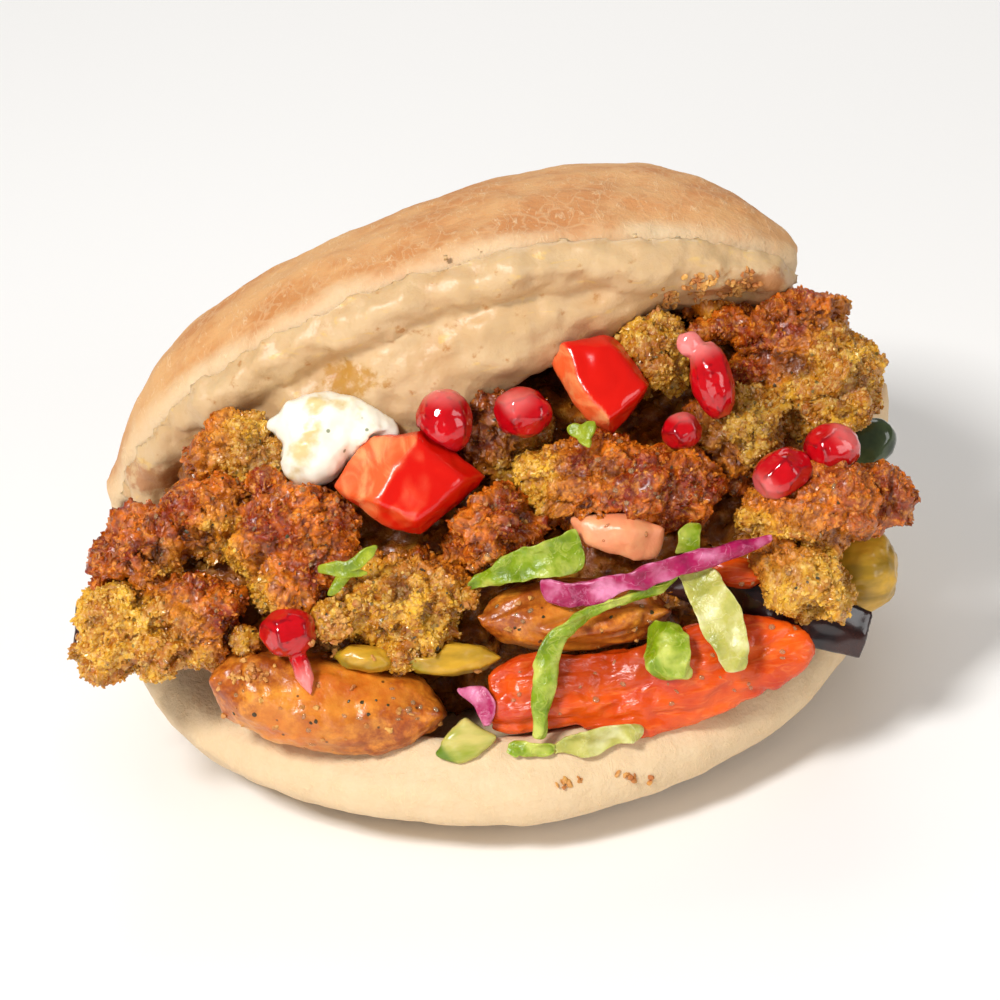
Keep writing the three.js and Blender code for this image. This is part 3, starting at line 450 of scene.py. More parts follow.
hummus = copy_of("hummus")
smoothed(hummus, voxel=0.0008, rounds=16)
shape_by(hummus, uneven, depth=0.0016, width=0.011, crease=0.05, fine_depth=0.00042, fine_width=0.0036)
keep_shape(hummus)
spots, normals = points_of(hummus.data)
for name, stains in (("oiled", OIL_STAINS), ("fried", FRIED_STAINS)):
    depths = []
    for middle, reach in stains:
        away = np.linalg.norm((spots - np.array(middle) / 1000) / (np.array(reach) / 1000), axis=1)
        depths.append(1 - ease(away, 0.3, 1.1))
    mark(hummus.data, name, np.max(depths, axis=0))
material, tree, shader = start_material("spread_chickpea_paste")
spot = add(tree, "ShaderNodeTexCoord").outputs["Object"]
rise = add(tree, "ShaderNodeAttribute", attribute_name="rise").outputs["Fac"]
long_spot = add(tree, "ShaderNodeMapping", {"Vector": spot, "Scale": (0.35, 1.0, 1.0)})
cloud = add(
    tree, "ShaderNodeTexNoise", {"Vector": long_spot, "Scale": every(6), "Detail": 5.0, "Roughness": 0.6}
)
paste = add(
    tree, "ShaderNodeMix", {"Factor": cloud, "A": srgb("#dabd92"), "B": srgb("#c49a66")}, data_type="RGBA"
)
# Painted shade: the hollows of the surface are darkened towards tan.
hollow = add(tree, "ShaderNodeMapRange", {"Value": rise, "From Min": -0.1, "From Max": -0.9, "To Max": 0.6})
paste = add(tree, "ShaderNodeMix", {"Factor": hollow, "A": paste, "B": srgb("#c08e58")}, data_type="RGBA")
oil = add(
    tree, "ShaderNodeTexNoise", {"Vector": long_spot, "Scale": every(2.2), "Detail": 3.0, "Distortion": 1.2}
)
oil = add(
    tree, "ShaderNodeMapRange", {"Value": oil, "From Min": 0.6, "From Max": 0.74, "To Max": 0.55},
    interpolation_type="SMOOTHSTEP",
)
paste = add(tree, "ShaderNodeMix", {"Factor": oil, "A": paste, "B": srgb("#dfb865")}, data_type="RGBA")
for name, stain_colour, strength in (("oiled", "#b5802a", 0.9), ("fried", "#b0703c", 0.8)):
    stain = add(tree, "ShaderNodeAttribute", attribute_name=name).outputs["Fac"]
    ragged = add(
        tree, "ShaderNodeTexNoise", {"Vector": spot, "Scale": every(2.6), "Detail": 5.0, "Roughness": 0.6}
    )
    ragged = add(tree, "ShaderNodeMath", {0: ragged, 1: 0.5}, operation="SUBTRACT")
    ragged = add(tree, "ShaderNodeMath", {0: ragged, 1: 3.2, 2: stain}, operation="MULTIPLY_ADD")
    ragged = add(
        tree, "ShaderNodeMapRange", {"Value": ragged, "From Min": 0.3, "From Max": 0.95, "To Max": strength},
        interpolation_type="SMOOTHSTEP",
    )
    paste = add(
        tree, "ShaderNodeMix", {"Factor": ragged, "A": paste, "B": srgb(stain_colour)}, data_type="RGBA"
    )
grit = add(tree, "ShaderNodeTexNoise", {"Vector": spot, "Scale": every(0.8), "Detail": 3.0})
lump = add(tree, "ShaderNodeTexNoise", {"Vector": spot, "Scale": every(2.4), "Detail": 5.0, "Roughness": 0.6})
grit = add(tree, "ShaderNodeMath", {0: lump, 1: 2.0, 2: grit}, operation="MULTIPLY_ADD")
bump = add(tree, "ShaderNodeBump", {"Height": grit, "Strength": 0.3, "Distance": 0.0003})
join(
    tree, shader,
    {
        "Base Color": paste, "Normal": bump, "Roughness": 0.4, "Subsurface Weight": 0.25,
        "Subsurface Radius": (1.0, 0.7, 0.4), "Subsurface Scale": 0.002,
    },
)
serve(hummus, material, "hummus", "hummus")

# ---- The garlic sauce -------------------------------------------------------------------------------------
# A dollop of white garlic and yoghurt sauce with herb specks, glossy and soft-edged, stained by oil above.

sauce = copy_of("garlic_sauce")
smoothed(sauce, voxel=0.0005, rounds=8)
shape_by(sauce, uneven, depth=0.0007, width=0.006, fine_depth=0.0002, fine_width=0.002)
keep_shape(sauce)
material, tree, shader = start_material("whipped_garlic_sauce")
spot = add(tree, "ShaderNodeTexCoord").outputs["Object"]
stain = add(tree, "ShaderNodeTexNoise", {"Vector": spot, "Scale": every(7), "Detail": 4.0})
stain = add(
    tree, "ShaderNodeMapRange", {"Value": stain, "From Min": 0.54, "From Max": 0.68},
    interpolation_type="SMOOTHSTEP",
)
white = add(
    tree, "ShaderNodeMix", {"Factor": stain, "A": srgb("#f2eedb"), "B": srgb("#dcc387")}, data_type="RGBA"
)
speck = add(tree, "ShaderNodeTexVoronoi", {"Vector": spot, "Scale": every(3.2)})
speck = add(
    tree, "ShaderNodeMapRange",
    {"Value": speck, "From Min": 0.08, "From Max": 0.13, "To Min": 0.8, "To Max": 0.0},
)
white = add(tree, "ShaderNodeMix", {"Factor": speck, "A": white, "B": srgb("#6f7a4c")}, data_type="RGBA")
join(
    tree, shader,
    {
        "Base Color": white, "Roughness": 0.3, "Subsurface Weight": 0.3, "Subsurface Radius": (1.0, 0.9, 0.7),
        "Subsurface Scale": 0.002,
    },
)
serve(sauce, material, "garlic_sauce", "garlic_sauce")

# ---- The falafel ------------------------------------------------------------------------------------------
# Balls of ground chickpeas and herbs, deep-fried until the crust is brown, hard and granular, then crushed
# into the bread. Where they broke, the crumb is coarse, moist and yellow-green.

GRAIN = 0.00125  # a ground chickpea grain
CRAG = 0.0015  # how far the surface breaks up and down
CRAG_WIDTH = 0.008
FALAFEL_VOXEL = 0.00031
CRUMBS = 1000000.0  # granules for each square metre
BEND = (0.003, 0.003, 0.003)  # how far the chunks are bent out of their cells
BREAK_WANDER = 0.011  # how far the edge of the crust wanders
CRUMB_JAG = 0.0011

# Every piece: towards which side it is broken (across, up and out of the mouth), how far out from its
# middle the crumb begins in millimetres, how dark it is from -1 to 1, and how wet from 0 to 1.
FALAFEL = {
    "falafel_left_half": ((-0.7, -0.6, 0.2), -2.5, 0.0, 0.25),
    "falafel_left_arch": ((0.5, -0.8, 0.2), 3.5, 0.0, 0.2),
    "falafel_upper_left": ((0.8, -0.1, 0.5), 0.0, -0.1, 0.0),
    "falafel_centre_left": ((-0.8, -0.6, -0.1), 6.0, 0.0, 0.2),
    "falafel_crushed": ((-0.4, -0.8, 0.3), -1.0, 0.05, 0.7),
    "falafel_whole": ((-0.9, 0.1, 0.3), 12.5, 0.0, 0.3),
    "falafel_shell": ((0.5, -0.6, 0.2), 2.0, 0.1, 0.2),
    "falafel_glossy": ((0.3, 0.4, 0.8), 3.0, 0.45, 0.9),
    "falafel_right_disc": ((-0.5, -0.8, 0.1), 5.5, -0.05, 0.15),
    "falafel_right_crumb": ((0.3, -0.6, 0.4), -1.5, -0.25, 0.1),
    "falafel_behind_tomato": ((0.0, 0.0, 1.0), -9.0, 0.25, 0.1),
    "falafel_under_lip": ((0.3, -0.6, 0.4), 3.0, 0.1, 0.2),
    "falafel_dark": ((0.5, -0.5, 0.4), 6.0, 0.7, 0.5),
    "falafel_scrap_left": ((0.0, 0.0, 1.0), -0.5, 0.2, 0.1),
    "falafel_scrap_middle": ((0.0, 0.0, 1.0), -0.5, 0.1, 0.1),
}


def from_mouth(u, v, w):
    """A direction given across, up the slope of, and out of the mouth."""
    return Vector((u, 0.5 * v - 0.866 * w, 0.866 * v + 0.5 * w))


# The surface is broken into chunks, covered with grains, and strewn with loose crumbs, thinner on the crust.
# Kept for the finish: peak, from between the grains to their tops, which sets painted shade between them;
# kernel, a random value for each grain, which picks grains for painted highlights; breakage, from the cracks
# to the chunks' tops, which sets painted shade in the cracks; broken, where the crumb lies bare; and brink,
# the crust beside it.
fried, given = start_tree(
    "Broken and fried surface",
    {
        "Crag depth": CRAG, "Crag width": CRAG_WIDTH, "Grain depth": 0.0007, "Grain size": GRAIN,
        "Crumb density": CRUMBS, "Crumb size": 0.0005,
        "Centre": (0.0, 0.0, 0.0), "Broken side": (0.0, 0.0, 1.0), "Broken from": 0.0, "Dark": 0.0,
        "Wet": 0.0, "Offset": (0.0, 0.0, 0.0),
    },
)
spot = add(fried, "GeometryNodeInputPosition")
place = add(fried, "ShaderNodeVectorMath", {0: spot, 1: given["Offset"]}, operation="ADD")
crag_scale = add(fried, "ShaderNodeMath", {0: 1.0, 1: given["Crag width"]}, operation="DIVIDE")
chunk_scale = add(fried, "ShaderNodeMath", {0: 1.9, 1: given["Crag width"]}, operation="DIVIDE")
clump_scale = add(fried, "ShaderNodeMath", {0: 4.5, 1: given["Crag width"]}, operation="DIVIDE")
grain_scale = add(fried, "ShaderNodeMath", {0: 1.0, 1: given["Grain size"]}, operation="DIVIDE")
bent = add(fried, "ShaderNodeTexNoise", {"Vector": place, "Scale": every(3), "Detail": 3.0})
bent = add(
    fried, "ShaderNodeVectorMath", {0: bent.outputs["Color"], 1: BEND, 2: place}, operation="MULTIPLY_ADD"
)
crag = add(fried, "ShaderNodeTexNoise", {"Vector": place, "Scale": crag_scale, "Detail": 3.0})
chunk = add(
    fried, "ShaderNodeTexVoronoi", {"Vector": bent, "Scale": chunk_scale, "Smoothness": 0.15},
    feature="SMOOTH_F1",
)
chunk_tone = add(fried, "FunctionNodeSeparateColor", {"Color": chunk.outputs["Color"]})
clump = add(
    fried, "ShaderNodeTexVoronoi", {"Vector": bent, "Scale": clump_scale, "Smoothness": 0.25},
    feature="SMOOTH_F1",
)
clump_tone = add(fried, "FunctionNodeSeparateColor", {"Color": clump.outputs["Color"]})
grain = add(
    fried, "ShaderNodeTexNoise", {"Vector": place, "Scale": grain_scale, "Detail": 4.0, "Roughness": 0.75}
)
broken_noise = add(fried, "ShaderNodeTexNoise", {"Vector": place, "Scale": every(4.5), "Detail": 2.0})
crag_rise = add(
    fried, "ShaderNodeMapRange",
    {"Value": crag, "From Min": 0.25, "From Max": 0.75, "To Min": -1.0, "To Max": 1.0},
)
chunk_rise = add(fried, "ShaderNodeMapRange", {"Value": chunk_tone, "To Min": -0.8, "To Max": 0.8})
clump_rise = add(fried, "ShaderNodeMapRange", {"Value": clump_tone, "To Min": -0.4, "To Max": 0.4})
breakage = add(
    fried, "ShaderNodeMath", {0: add(fried, "ShaderNodeMath", {0: crag_rise, 1: chunk_rise}), 1: clump_rise}
)
kernel = add(fried, "ShaderNodeTexVoronoi", {"Vector": bent, "Scale": grain_scale})
kernel_tone = add(fried, "FunctionNodeSeparateColor", {"Color": kernel.outputs["Color"]})
dome = add(
    fried, "ShaderNodeMapRange",
    {"Value": kernel, "From Min": 0.05, "From Max": 0.8, "To Min": 1.0, "To Max": 0.0},
)
rough = add(fried, "ShaderNodeMapRange", {"Value": grain, "From Min": 0.32, "From Max": 0.68})
peak = add(fried, "ShaderNodeMix", {"Factor": 0.7, "A": dome, "B": rough}, data_type="FLOAT")
from_centre = add(fried, "ShaderNodeVectorMath", {0: spot, 1: given["Centre"]}, operation="SUBTRACT")
reach = add(
    fried, "ShaderNodeVectorMath", {0: from_centre, 1: given["Broken side"]}, operation="DOT_PRODUCT"
).outputs["Value"]
reach = add(
    fried, "ShaderNodeMath",
    {
        0: add(fried, "ShaderNodeMath", {0: broken_noise, 1: 0.5}, operation="SUBTRACT"), 1: BREAK_WANDER,
        2: reach,
    },
    operation="MULTIPLY_ADD",
)
reach = add(fried, "ShaderNodeMath", {0: reach, 1: given["Broken from"]}, operation="SUBTRACT")
broken = add(
    fried, "ShaderNodeMapRange", {"Value": reach, "From Min": -0.0008, "From Max": 0.0022},
    interpolation_type="SMOOTHSTEP",
)
brink = add(
    fried, "ShaderNodeMapRange", {"Value": reach, "From Min": -0.005, "From Max": -0.0005},
    interpolation_type="SMOOTHSTEP",
)
height = add(fried, "ShaderNodeMath", {0: breakage, 1: given["Crag depth"]}, operation="MULTIPLY")
height = add(fried, "ShaderNodeMath", {0: peak, 1: given["Grain depth"], 2: height}, operation="MULTIPLY_ADD")
push = add(
    fried, "ShaderNodeVectorMath", {0: add(fried, "GeometryNodeInputNormal"), "Scale": height},
    operation="SCALE",
)
surface = add(fried, "GeometryNodeSetPosition", {"Geometry": given["Geometry"], "Offset": push})
for name, value in (
    ("peak", peak), ("kernel", kernel_tone), ("breakage", breakage), ("broken", broken), ("brink", brink),
    ("dark", given["Dark"]), ("wet", given["Wet"]),
):
    surface = add(
        fried, "GeometryNodeStoreNamedAttribute", {"Geometry": surface, "Name": name, "Value": value},
        data_type="FLOAT", domain="POINT",
    )
loose = add(fried, "ShaderNodeMapRange", {"Value": broken, "To Min": 0.45, "To Max": 1.0})
loose = add(fried, "ShaderNodeMath", {0: loose, 1: given["Crumb density"]}, operation="MULTIPLY")
strewn = add(fried, "GeometryNodeDistributePointsOnFaces", {"Mesh": surface, "Density": loose, "Seed": 5})
# The loose crumbs get a random peak and kernel, so some of them take painted shade and painted highlights.
for name, low, seed in (("kernel", 0.0, 8), ("peak", 0.35, 9)):
    chance = add(fried, "FunctionNodeRandomValue", {"Min": low, "Max": 1.0, "Seed": seed}, data_type="FLOAT")
    strewn = add(
        fried, "GeometryNodeStoreNamedAttribute", {"Geometry": strewn, "Name": name, "Value": chance},
        data_type="FLOAT", domain="POINT",
    )
turn = add(
    fried, "FunctionNodeRandomValue", {"Min": (0.0, 0.0, 0.0), "Max": (6.3, 6.3, 6.3), "Seed": 1},
    data_type="FLOAT_VECTOR",
)
size = add(
    fried, "FunctionNodeRandomValue", {"Min": (0.35, 0.35, 0.35), "Max": (1.25, 1.1, 0.9), "Seed": 2},
    data_type="FLOAT_VECTOR",
)
bit = add(fried, "GeometryNodeMeshIcoSphere", {"Radius": given["Crumb size"], "Subdivisions": 1})
bits = add(
    fried, "GeometryNodeInstanceOnPoints",
    {"Points": strewn, "Instance": bit, "Rotation": turn, "Scale": size},
)
bits = add(fried, "GeometryNodeRealizeInstances", {"Geometry": bits})
jag = add(fried, "ShaderNodeTexNoise", {"Scale": every(0.7)})
jag = add(fried, "ShaderNodeVectorMath", {0: jag.outputs["Color"], 1: (0.5, 0.5, 0.5)}, operation="SUBTRACT")
jag = add(fried, "ShaderNodeVectorMath", {0: jag, "Scale": CRUMB_JAG}, operation="SCALE")
bits = add(fried, "GeometryNodeSetPosition", {"Geometry": bits, "Offset": jag})
together = add(fried, "GeometryNodeJoinGeometry", {"Geometry": bits})
fried.links.new(surface.outputs["Geometry"], together.inputs["Geometry"])
add(fried, "NodeGroupOutput", {"Geometry": together})

# Deep-fried chickpea crust and its crumb: red-brown grains with painted shade in the gaps and cracks and
# painted highlights on some grains, oil that glints between them, and a moist yellow-green inside.
material, tree, shader = start_material("deep_fried_chickpea")
spot = add(tree, "ShaderNodeTexCoord").outputs["Object"]
peak = add(tree, "ShaderNodeAttribute", attribute_name="peak").outputs["Fac"]
crack = add(tree, "ShaderNodeAttribute", attribute_name="breakage").outputs["Fac"]
inside = add(tree, "ShaderNodeAttribute", attribute_name="broken").outputs["Fac"]
dark = add(tree, "ShaderNodeAttribute", attribute_name="dark").outputs["Fac"]
wet = add(tree, "ShaderNodeAttribute", attribute_name="wet").outputs["Fac"]
tone = add(tree, "ShaderNodeTexNoise", {"Vector": spot, "Scale": every(6), "Detail": 4.0, "Roughness": 0.6})
grit = add(tree, "ShaderNodeTexNoise", {"Vector": spot, "Scale": every(0.5), "Detail": 2.0})
grit = add(tree, "ShaderNodeMapRange", {"Value": grit, "From Min": 0.3, "From Max": 0.7})
kernel = add(tree, "ShaderNodeAttribute", attribute_name="kernel").outputs["Fac"]
grit_tone = add(tree, "ShaderNodeMix", {"Factor": 0.5, "A": grit, "B": kernel}, data_type="FLOAT")
warm = add(tree, "ShaderNodeMapRange", {"Value": tone, "From Min": 0.41, "From Max": 0.6})
brink = add(tree, "ShaderNodeAttribute", attribute_name="brink").outputs["Fac"]
crust = add(
    tree, "ShaderNodeMix", {"Factor": warm, "A": srgb("#942c04"), "B": srgb("#de7210")}, data_type="RGBA"
)
golden = add(tree, "ShaderNodeMath", {0: brink, 1: 0.6}, operation="MULTIPLY")
crust = add(tree, "ShaderNodeMix", {"Factor": golden, "A": crust, "B": srgb("#e08c20")}, data_type="RGBA")
# Painted highlights: grains picked by noise and by their kernel value are lightened to bright orange.
lit = add(tree, "ShaderNodeMapRange", {"Value": grit_tone, "From Min": 0.5, "From Max": 0.9, "To Max": 0.75})
crust = add(tree, "ShaderNodeMix", {"Factor": lit, "A": crust, "B": srgb("#f6a236")}, data_type="RGBA")
# Painted shade: the hollows between the grains are darkened to deep red-brown.
gap = add(tree, "ShaderNodeMapRange", {"Value": peak, "From Min": 0.6, "From Max": 0.2, "To Max": 0.85})
crust = add(tree, "ShaderNodeMix", {"Factor": gap, "A": crust, "B": srgb("#641c02")}, data_type="RGBA")
crumb = add(
    tree, "ShaderNodeMix", {"Factor": warm, "A": srgb("#bc7412"), "B": srgb("#eeb636")}, data_type="RGBA"
)
# The crumb gets the same painted highlights in pale yellow, and painted shade between its grains.
crumb = add(tree, "ShaderNodeMix", {"Factor": lit, "A": crumb, "B": srgb("#f8d67a")}, data_type="RGBA")
crumb = add(tree, "ShaderNodeMix", {"Factor": gap, "A": crumb, "B": srgb("#a85408")}, data_type="RGBA")
herb = add(tree, "ShaderNodeTexVoronoi", {"Vector": spot, "Scale": every(2.6)})
herb = add(
    tree, "ShaderNodeMapRange",
    {"Value": herb, "From Min": 0.1, "From Max": 0.16, "To Min": 0.8, "To Max": 0.0},
)
crumb = add(tree, "ShaderNodeMix", {"Factor": herb, "A": crumb, "B": srgb("#5c5420")}, data_type="RGBA")
colour = add(tree, "ShaderNodeMix", {"Factor": inside, "A": crust, "B": crumb}, data_type="RGBA")
# Painted shade: the cracks between the chunks are darkened to near black-brown.
deep = add(tree, "ShaderNodeMapRange", {"Value": crack, "From Min": -0.2, "From Max": -1.4, "To Max": 0.8})
colour = add(tree, "ShaderNodeMix", {"Factor": deep, "A": colour, "B": srgb("#4c1a04")}, data_type="RGBA")
# Each piece is mixed towards dark brown by its darkness; on the stuffing that darkness is painted shade.
shade = add(tree, "ShaderNodeMapRange", {"Value": dark, "From Max": 1.0, "To Max": 0.75})
colour = add(tree, "ShaderNodeMix", {"Factor": shade, "A": colour, "B": srgb("#42180a")}, data_type="RGBA")
pale = add(tree, "ShaderNodeMapRange", {"Value": dark, "From Max": -1.0, "To Max": 0.6})
colour = add(tree, "ShaderNodeMix", {"Factor": pale, "A": colour, "B": srgb("#dcb048")}, data_type="RGBA")
oil = add(tree, "ShaderNodeTexNoise", {"Vector": spot, "Scale": every(2.4), "Detail": 3.0})
oil = add(tree, "ShaderNodeMath", {0: wet, 1: 0.35, 2: oil}, operation="MULTIPLY_ADD")
sheen = add(
    tree, "ShaderNodeMapRange",
    {"Value": oil, "From Min": 0.42, "From Max": 0.6, "To Min": 0.36, "To Max": 0.08},
)
fine = add(tree, "ShaderNodeTexNoise", {"Vector": spot, "Scale": every(0.7), "Detail": 4.0, "Roughness": 0.6})
bump = add(tree, "ShaderNodeBump", {"Height": fine, "Strength": 0.7, "Distance": 0.0005})
join(
    tree, shader,
    {
        "Base Color": colour, "Roughness": sheen, "Normal": bump, "Specular IOR Level": 0.5,
        "Coat Weight": 0.2, "Coat Roughness": 0.08,
    },
)
falafel_finish = material

for number, (node, (side, start, darkness, wetness)) in enumerate(FALAFEL.items()):
    piece = copy_of(node)
    low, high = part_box(node)
    small = node.startswith("falafel_scrap")
    smoothed(piece, voxel=FALAFEL_VOXEL, rounds=2)
    shape_by(
        piece,
        fried,
        crag_depth=CRAG * (0.35 if small else 1),
        centre=(low + high) / 2,
        broken_side=from_mouth(*side).normalized(),
        broken_from=start / 1000,
        dark=darkness,
        wet=wetness,
        offset=Vector((number * 0.031, 0.0, 0.0)),
    )
    keep_shape(piece)
    serve(piece, falafel_finish, "falafel_crust" if darkness > -0.05 else "falafel_crumb", node)

# ---- The imported stuffing ----------------------------------------------------------------------------------
# Crushed falafel and fried vegetables in tahini and oil, moist, which fill the pocket behind; they are drawn
# dark with painted shade for the depth of the pocket.

stuffing = copy_of("stuffing")
smoothed(stuffing, voxel=0.001, rounds=2)
# Its darkness of 0.6 is painted shade for the pocket it fills.
shape_by(
    stuffing, fried, crag_depth=0.0022, crag_width=0.009, grain_depth=0.0006, grain_size=0.0016,
    crumb_density=90000.0, crumb_size=0.0008, broken_side=(0.0, 0.0, 0.0), broken_from=0.0008, dark=0.6,
    wet=0.5, centre=(0.0, -0.01, 0.03),
)
keep_shape(stuffing)
serve(stuffing, falafel_finish, "stuffing", "stuffing")

# ---- The tomato -------------------------------------------------------------------------------------------
# Ripe tomato in rough dice. The skin is tight and glossy; the cut sides are wet, paler flesh with white
# veins.

TOMATO = {"tomato_left": (-0.75, 0.2, 0.2), "tomato_top": (-0.8, -0.3, 0.1), "tomato_flesh": (0.0, 0.0, 0.0)}

material, tree, shader = start_material("ripe_tomato")
spot = add(tree, "ShaderNodeTexCoord").outputs["Object"]
cut = add(tree, "ShaderNodeAttribute", attribute_name="cut").outputs["Fac"]
tone = add(tree, "ShaderNodeTexNoise", {"Vector": spot, "Scale": every(9), "Detail": 2.0})
skin = add(
    tree, "ShaderNodeMix", {"Factor": tone, "A": srgb("#e01a0a"), "B": srgb("#c20a04")}, data_type="RGBA"
)
grained = add(
    tree, "ShaderNodeMapping", {"Vector": spot, "Rotation": (0.3, 0.2, 0.9), "Scale": (1.0, 0.3, 1.0)}
)
vein = add(
    tree, "ShaderNodeTexNoise", {"Vector": grained, "Scale": every(3.5), "Detail": 4.0, "Distortion": 0.6}
)
vein = add(
    tree, "ShaderNodeMapRange", {"Value": vein, "From Min": 0.42, "From Max": 0.68},
    interpolation_type="SMOOTHSTEP",
)
flesh = add(
    tree, "ShaderNodeMix", {"Factor": vein, "A": srgb("#f0602c"), "B": srgb("#f8a064")}, data_type="RGBA"
)
pale = add(tree, "ShaderNodeAttribute", attribute_name="pale").outputs["Fac"]
flesh = add(tree, "ShaderNodeMix", {"Factor": pale, "A": flesh, "B": srgb("#f0a878")}, data_type="RGBA")
colour = add(tree, "ShaderNodeMix", {"Factor": cut, "A": skin, "B": flesh}, data_type="RGBA")
wetness = add(tree, "ShaderNodeMapRange", {"Value": cut, "To Min": 0.16, "To Max": 0.34})
pulp = add(tree, "ShaderNodeTexNoise", {"Vector": spot, "Scale": every(0.9), "Detail": 3.0})
pulp = add(tree, "ShaderNodeMath", {0: pulp, 1: cut}, operation="MULTIPLY")
bump = add(tree, "ShaderNodeBump", {"Height": pulp, "Strength": 0.3, "Distance": 0.0003})
join(
    tree, shader,
    {
        "Base Color": colour, "Roughness": wetness, "Normal": bump, "Subsurface Weight": 0.2,
        "Subsurface Radius": (1.0, 0.25, 0.12), "Subsurface Scale": 0.002,
    },
)
for number, (node, flesh_side) in enumerate(TOMATO.items()):
    piece = copy_of(node)
    smoothed(piece, voxel=0.0005, rounds=16)
    shape_by(piece, uneven, depth=0.0006, width=0.009, offset=(number * 0.05, 0.0, 0.0))
    keep_shape(piece)
    spots, normals = points_of(piece.data)
    side = from_mouth(*flesh_side)
    facing = normals @ np.array(side) / max(side.length, 1e-6) if side.length else np.ones(len(spots))
    mark(piece.data, "cut", ease(facing, 0.2, 0.75))
    mark(piece.data, "pale", np.full(len(spots), 0.7 if node == "tomato_flesh" else 0.0))
    serve(piece, material, "tomato_flesh" if node == "tomato_flesh" else "tomato", node)

# ---- The pomegranate seeds --------------------------------------------------------------------------------
# Fresh seeds in their juice sacs: tight, clear and crimson, paler where the stalk was.

SEED_TIPS = {
    1: (0.1, 0.9, 0.3), 2: (-0.2, 0.5, 0.8), 3: (-0.3, 0.95, 0.1), 4: (0.1, 0.9, 0.3), 5: (-0.7, -0.6, 0.3),
    6: (0.6, 0.5, 0.5), 7: (0.25, -0.95, 0.1),
}


def turning(mesh, rounds=0):
    """How sharply the surface turns outwards at each vertex, in 1/m, averaged over neighbours in rounds."""
    spots, normals = points_of(mesh)
    ends = np.empty(len(mesh.edges) * 2, dtype=np.int32)
    mesh.edges.foreach_get("vertices", ends)
    here, there = ends.reshape(-1, 2).T
    gap = spots[there] - spots[here]
    turn = ((normals[there] - normals[here]) * gap).sum(axis=1) / np.maximum((gap * gap).sum(axis=1), 1e-12)
    ways = np.bincount(here, minlength=len(spots)) + np.bincount(there, minlength=len(spots))
    turn = (np.bincount(here, turn, len(spots)) + np.bincount(there, turn, len(spots))) / np.maximum(ways, 1)
    for _ in range(rounds):
        around = np.bincount(here, turn[there], len(spots)) + np.bincount(there, turn[here], len(spots))
        turn = (turn + around) / (ways + 1)
    return turn


material, tree, shader = start_material("pomegranate_juice_sac")
spot = add(tree, "ShaderNodeTexCoord").outputs["Object"]
tip = add(tree, "ShaderNodeAttribute", attribute_name="tip").outputs["Fac"]
depth = add(tree, "ShaderNodeTexNoise", {"Vector": spot, "Scale": every(4), "Detail": 2.0})
juice = add(
    tree, "ShaderNodeMix", {"Factor": depth, "A": srgb("#d80c18"), "B": srgb("#9c040e")}, data_type="RGBA"
)
# Painted shade: the seeds are darker crimson where the surface turns sharply at their edges.
ridge = add(tree, "ShaderNodeAttribute", attribute_name="ridge").outputs["Fac"]
juice = add(tree, "ShaderNodeMix", {"Factor": ridge, "A": juice, "B": srgb("#7c0410")}, data_type="RGBA")
colour = add(tree, "ShaderNodeMix", {"Factor": tip, "A": juice, "B": srgb("#ff9690")}, data_type="RGBA")
join(
    tree, shader,
    {
        "Base Color": colour, "Roughness": 0.1, "IOR": 1.38, "Subsurface Weight": 0.35,
        "Subsurface Radius": (1.0, 0.12, 0.12), "Subsurface Scale": 0.002, "Coat Weight": 0.6,
        "Coat Roughness": 0.05,
    },
)
for number, tip_side in SEED_TIPS.items():
    node = f"pomegranate_{number}"
    piece = copy_of(node)
    smoothed(piece, voxel=0.0003, rounds=3)
    shape_by(piece, uneven, depth=0.00022, width=0.004, offset=(number * 0.04, 0.0, 0.0))
    keep_shape(piece)
    spots, normals = points_of(piece.data)
    along = spots @ np.array(from_mouth(*tip_side).normalized())
    share = (along - along.min()) / (along.max() - along.min())
    stalked = number in (3, 7)
    # Painted shade along the seed's sharp edges.
    mark(piece.data, "ridge", ease(turning(piece.data), 240, 650) * 0.8)
    mark(
        piece.data, "tip",
        ease(share, 0.6 if stalked else 0.75, 0.85 if stalked else 1.0) * (0.75 if stalked else 0.4),
    )
    serve(piece, material, "pomegranate", node)

# ---- The potato -------------------------------------------------------------------------------------------
# Waxy potato roasted in its skin: oiled, golden, blistered and browned at the edges, with herb specks.

material, tree, shader = start_material("roasted_potato")
spot = add(tree, "ShaderNodeTexCoord").outputs["Object"]
rise = add(tree, "ShaderNodeAttribute", attribute_name="rise").outputs["Fac"]
tone = add(tree, "ShaderNodeTexNoise", {"Vector": spot, "Scale": every(6), "Detail": 6.0, "Roughness": 0.65})
roasted = add(tree, "ShaderNodeMapRange", {"Value": tone, "From Min": 0.36, "From Max": 0.66})
colour = add(
    tree, "ShaderNodeMix", {"Factor": roasted, "A": srgb("#e6942f"), "B": srgb("#cc6414")}, data_type="RGBA"
)
rim = add(tree, "ShaderNodeAttribute", attribute_name="rim").outputs["Fac"]
rim_break = add(
    tree, "ShaderNodeTexNoise", {"Vector": spot, "Scale": every(3), "Detail": 5.0, "Roughness": 0.7}
)
rim_break = add(tree, "ShaderNodeMapRange", {"Value": rim_break, "From Min": 0.35, "From Max": 0.6})
rim = add(tree, "ShaderNodeMath", {0: rim, 1: rim_break}, operation="MULTIPLY")
colour = add(tree, "ShaderNodeMix", {"Factor": rim, "A": colour, "B": srgb("#8c3a0c")}, data_type="RGBA")
